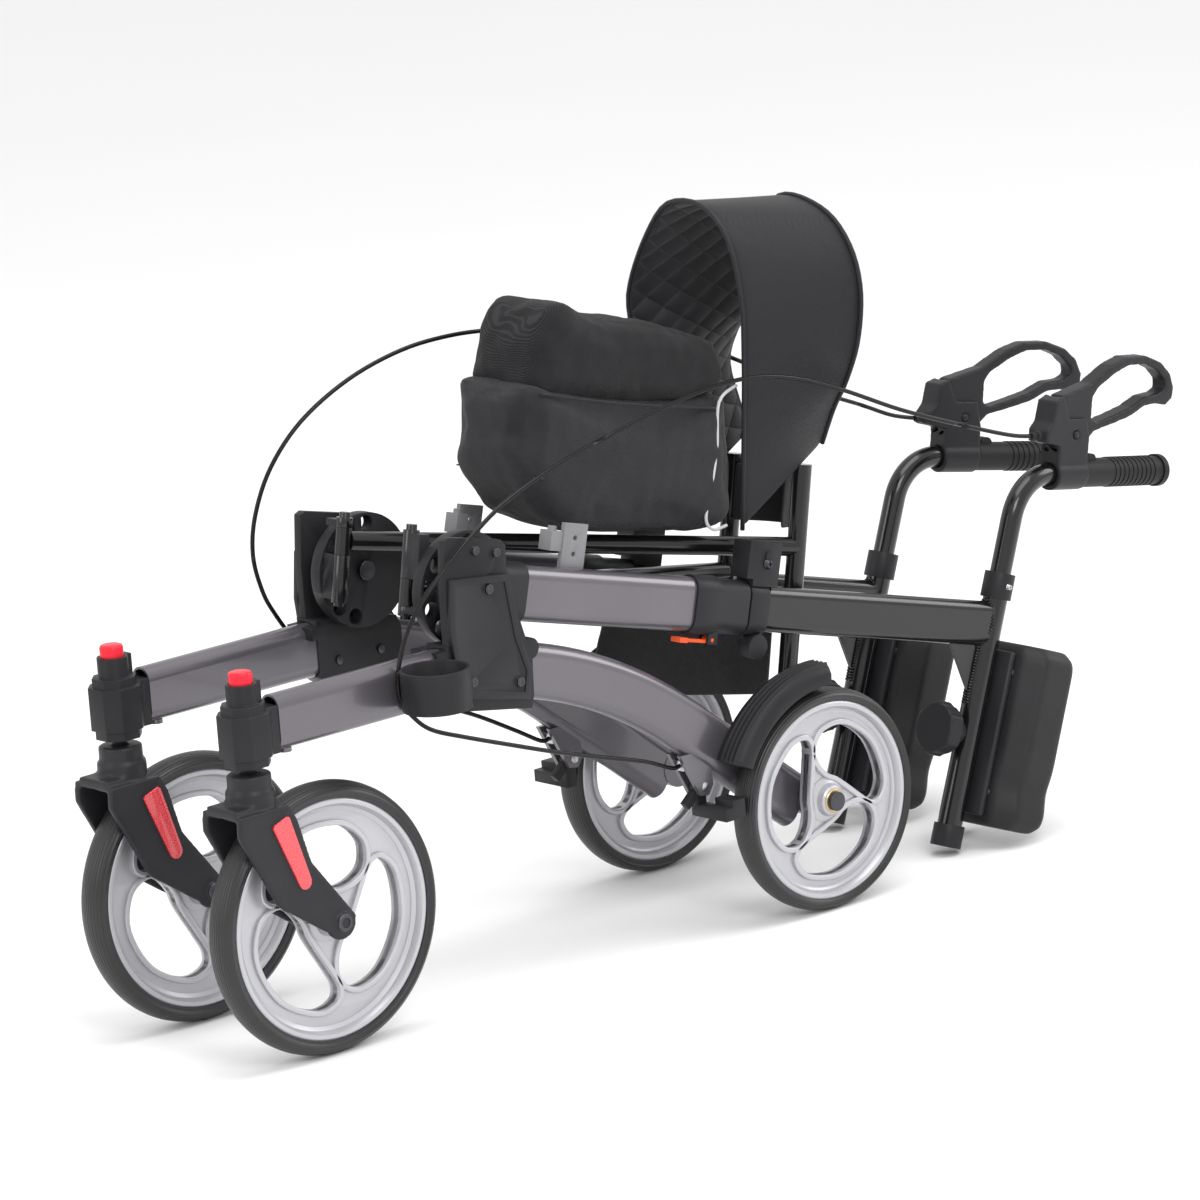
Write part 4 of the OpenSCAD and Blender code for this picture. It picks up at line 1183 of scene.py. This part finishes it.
# ---- seat sling ---------------------------------------------------------
# the two sheets hang between the seat rails: heights of their edges, and how far they bow
slingSet = {"reach": 0.573, "railY": 0.057, "thick": 0.002, "rows": 8, "steps": 28,
            "low": (-0.150, -0.040), "lowBow": 0.225, "high": (0.040, 0.106), "highBow": -0.054}


def buildSling(name, low, high, depth):
    c = slingSet
    rows, steps = c["rows"], c["steps"]
    section = []
    for k in range(steps + 1):
        t = k / steps
        a = math.pi * (t - 0.5)
        bend = math.cos(a)
        y = -c["railY"] * 0.72 * math.sin(a) * (1 - 0.35 * bend)
        section.append((-c["reach"] + 0.012 + depth * bend, -y))
    points, faces = [], []
    for i in range(rows + 1):
        z = low + (high - low) * i / rows
        for k, (x, y) in enumerate(section):
            ripple = 0.004 * math.sin(9 * z / 0.1 + k * 0.35) * math.sin(math.pi * k / steps)
            points.append((x + ripple, y, z))
    w = len(section)
    for i in range(rows):
        faces += band(i * w, (i + 1) * w, w, closed=False)
    sling = addMesh(name, points, faces, "slingCloth")
    addModifier(sling, "SOLIDIFY", thickness=c["thick"], offset=0)
    addModifier(sling, "SUBSURF", levels=1, render_levels=1)
    bake(sling)
    sling.data.shade_smooth()
    placed(sling, linkFrame)
    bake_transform(sling)
    return sling


sling = buildSling("seat_sling_low", *slingSet["low"], slingSet["lowBow"])
buildSling("seat_sling_high", *slingSet["high"], slingSet["highBow"])
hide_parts("seat_sling")
print("stage: sling made")


# ---- floor and light ----------------------------------------------------
# power, size and place of each lamp
lightSet = {"key": (60, 1.6, (1.6, 3.6, 3.0)), "side": (26, 1.6, (4.0, -0.6, 1.8)),
            "back": (40, 1.8, (-3.4, 1.6, 2.2)), "top": (60, 2.4, (0.0, 0.6, 3.6))}


def addStudio():
    size = 12
    corner = [(-size, -size, 0), (size, -size, 0), (size, size, 0), (-size, size, 0)]
    floor = addMesh("floor", corner, [(0, 1, 2, 3)], "thread", False)
    f = Finish("paleFloor", {"Roughness": 0.9, "Specular IOR Level": 0.1})
    f.drive("Base Color", f.blendColours(f.grain(2, 2), (0.90, 0.90, 0.90), (0.92, 0.92, 0.92)))
    floor.data.materials.clear()
    floor.data.materials.append(f.material)
    world = bpy.data.worlds.new("studio")
    scene.world = world
    world.use_nodes = True
    world.node_tree.nodes["Background"].inputs[0].default_value = (1, 1, 1, 1)
    world.node_tree.nodes["Background"].inputs[1].default_value = 0.95
    for name, (power, size, spot) in lightSet.items():
        data = bpy.data.lights.new(name, "AREA")
        data.energy = power
        data.size = size
        lamp = bpy.data.objects.new(name, data)
        scene.collection.objects.link(lamp)
        aim = (Vector((0, 0, 0.4)) - Vector(spot)).to_track_quat("-Z", "Y")
        lamp.matrix_world = Matrix.Translation(spot) @ aim.to_matrix().to_4x4()
    scene.view_settings.view_transform = "Standard"


addStudio()
print("stage: studio lit")
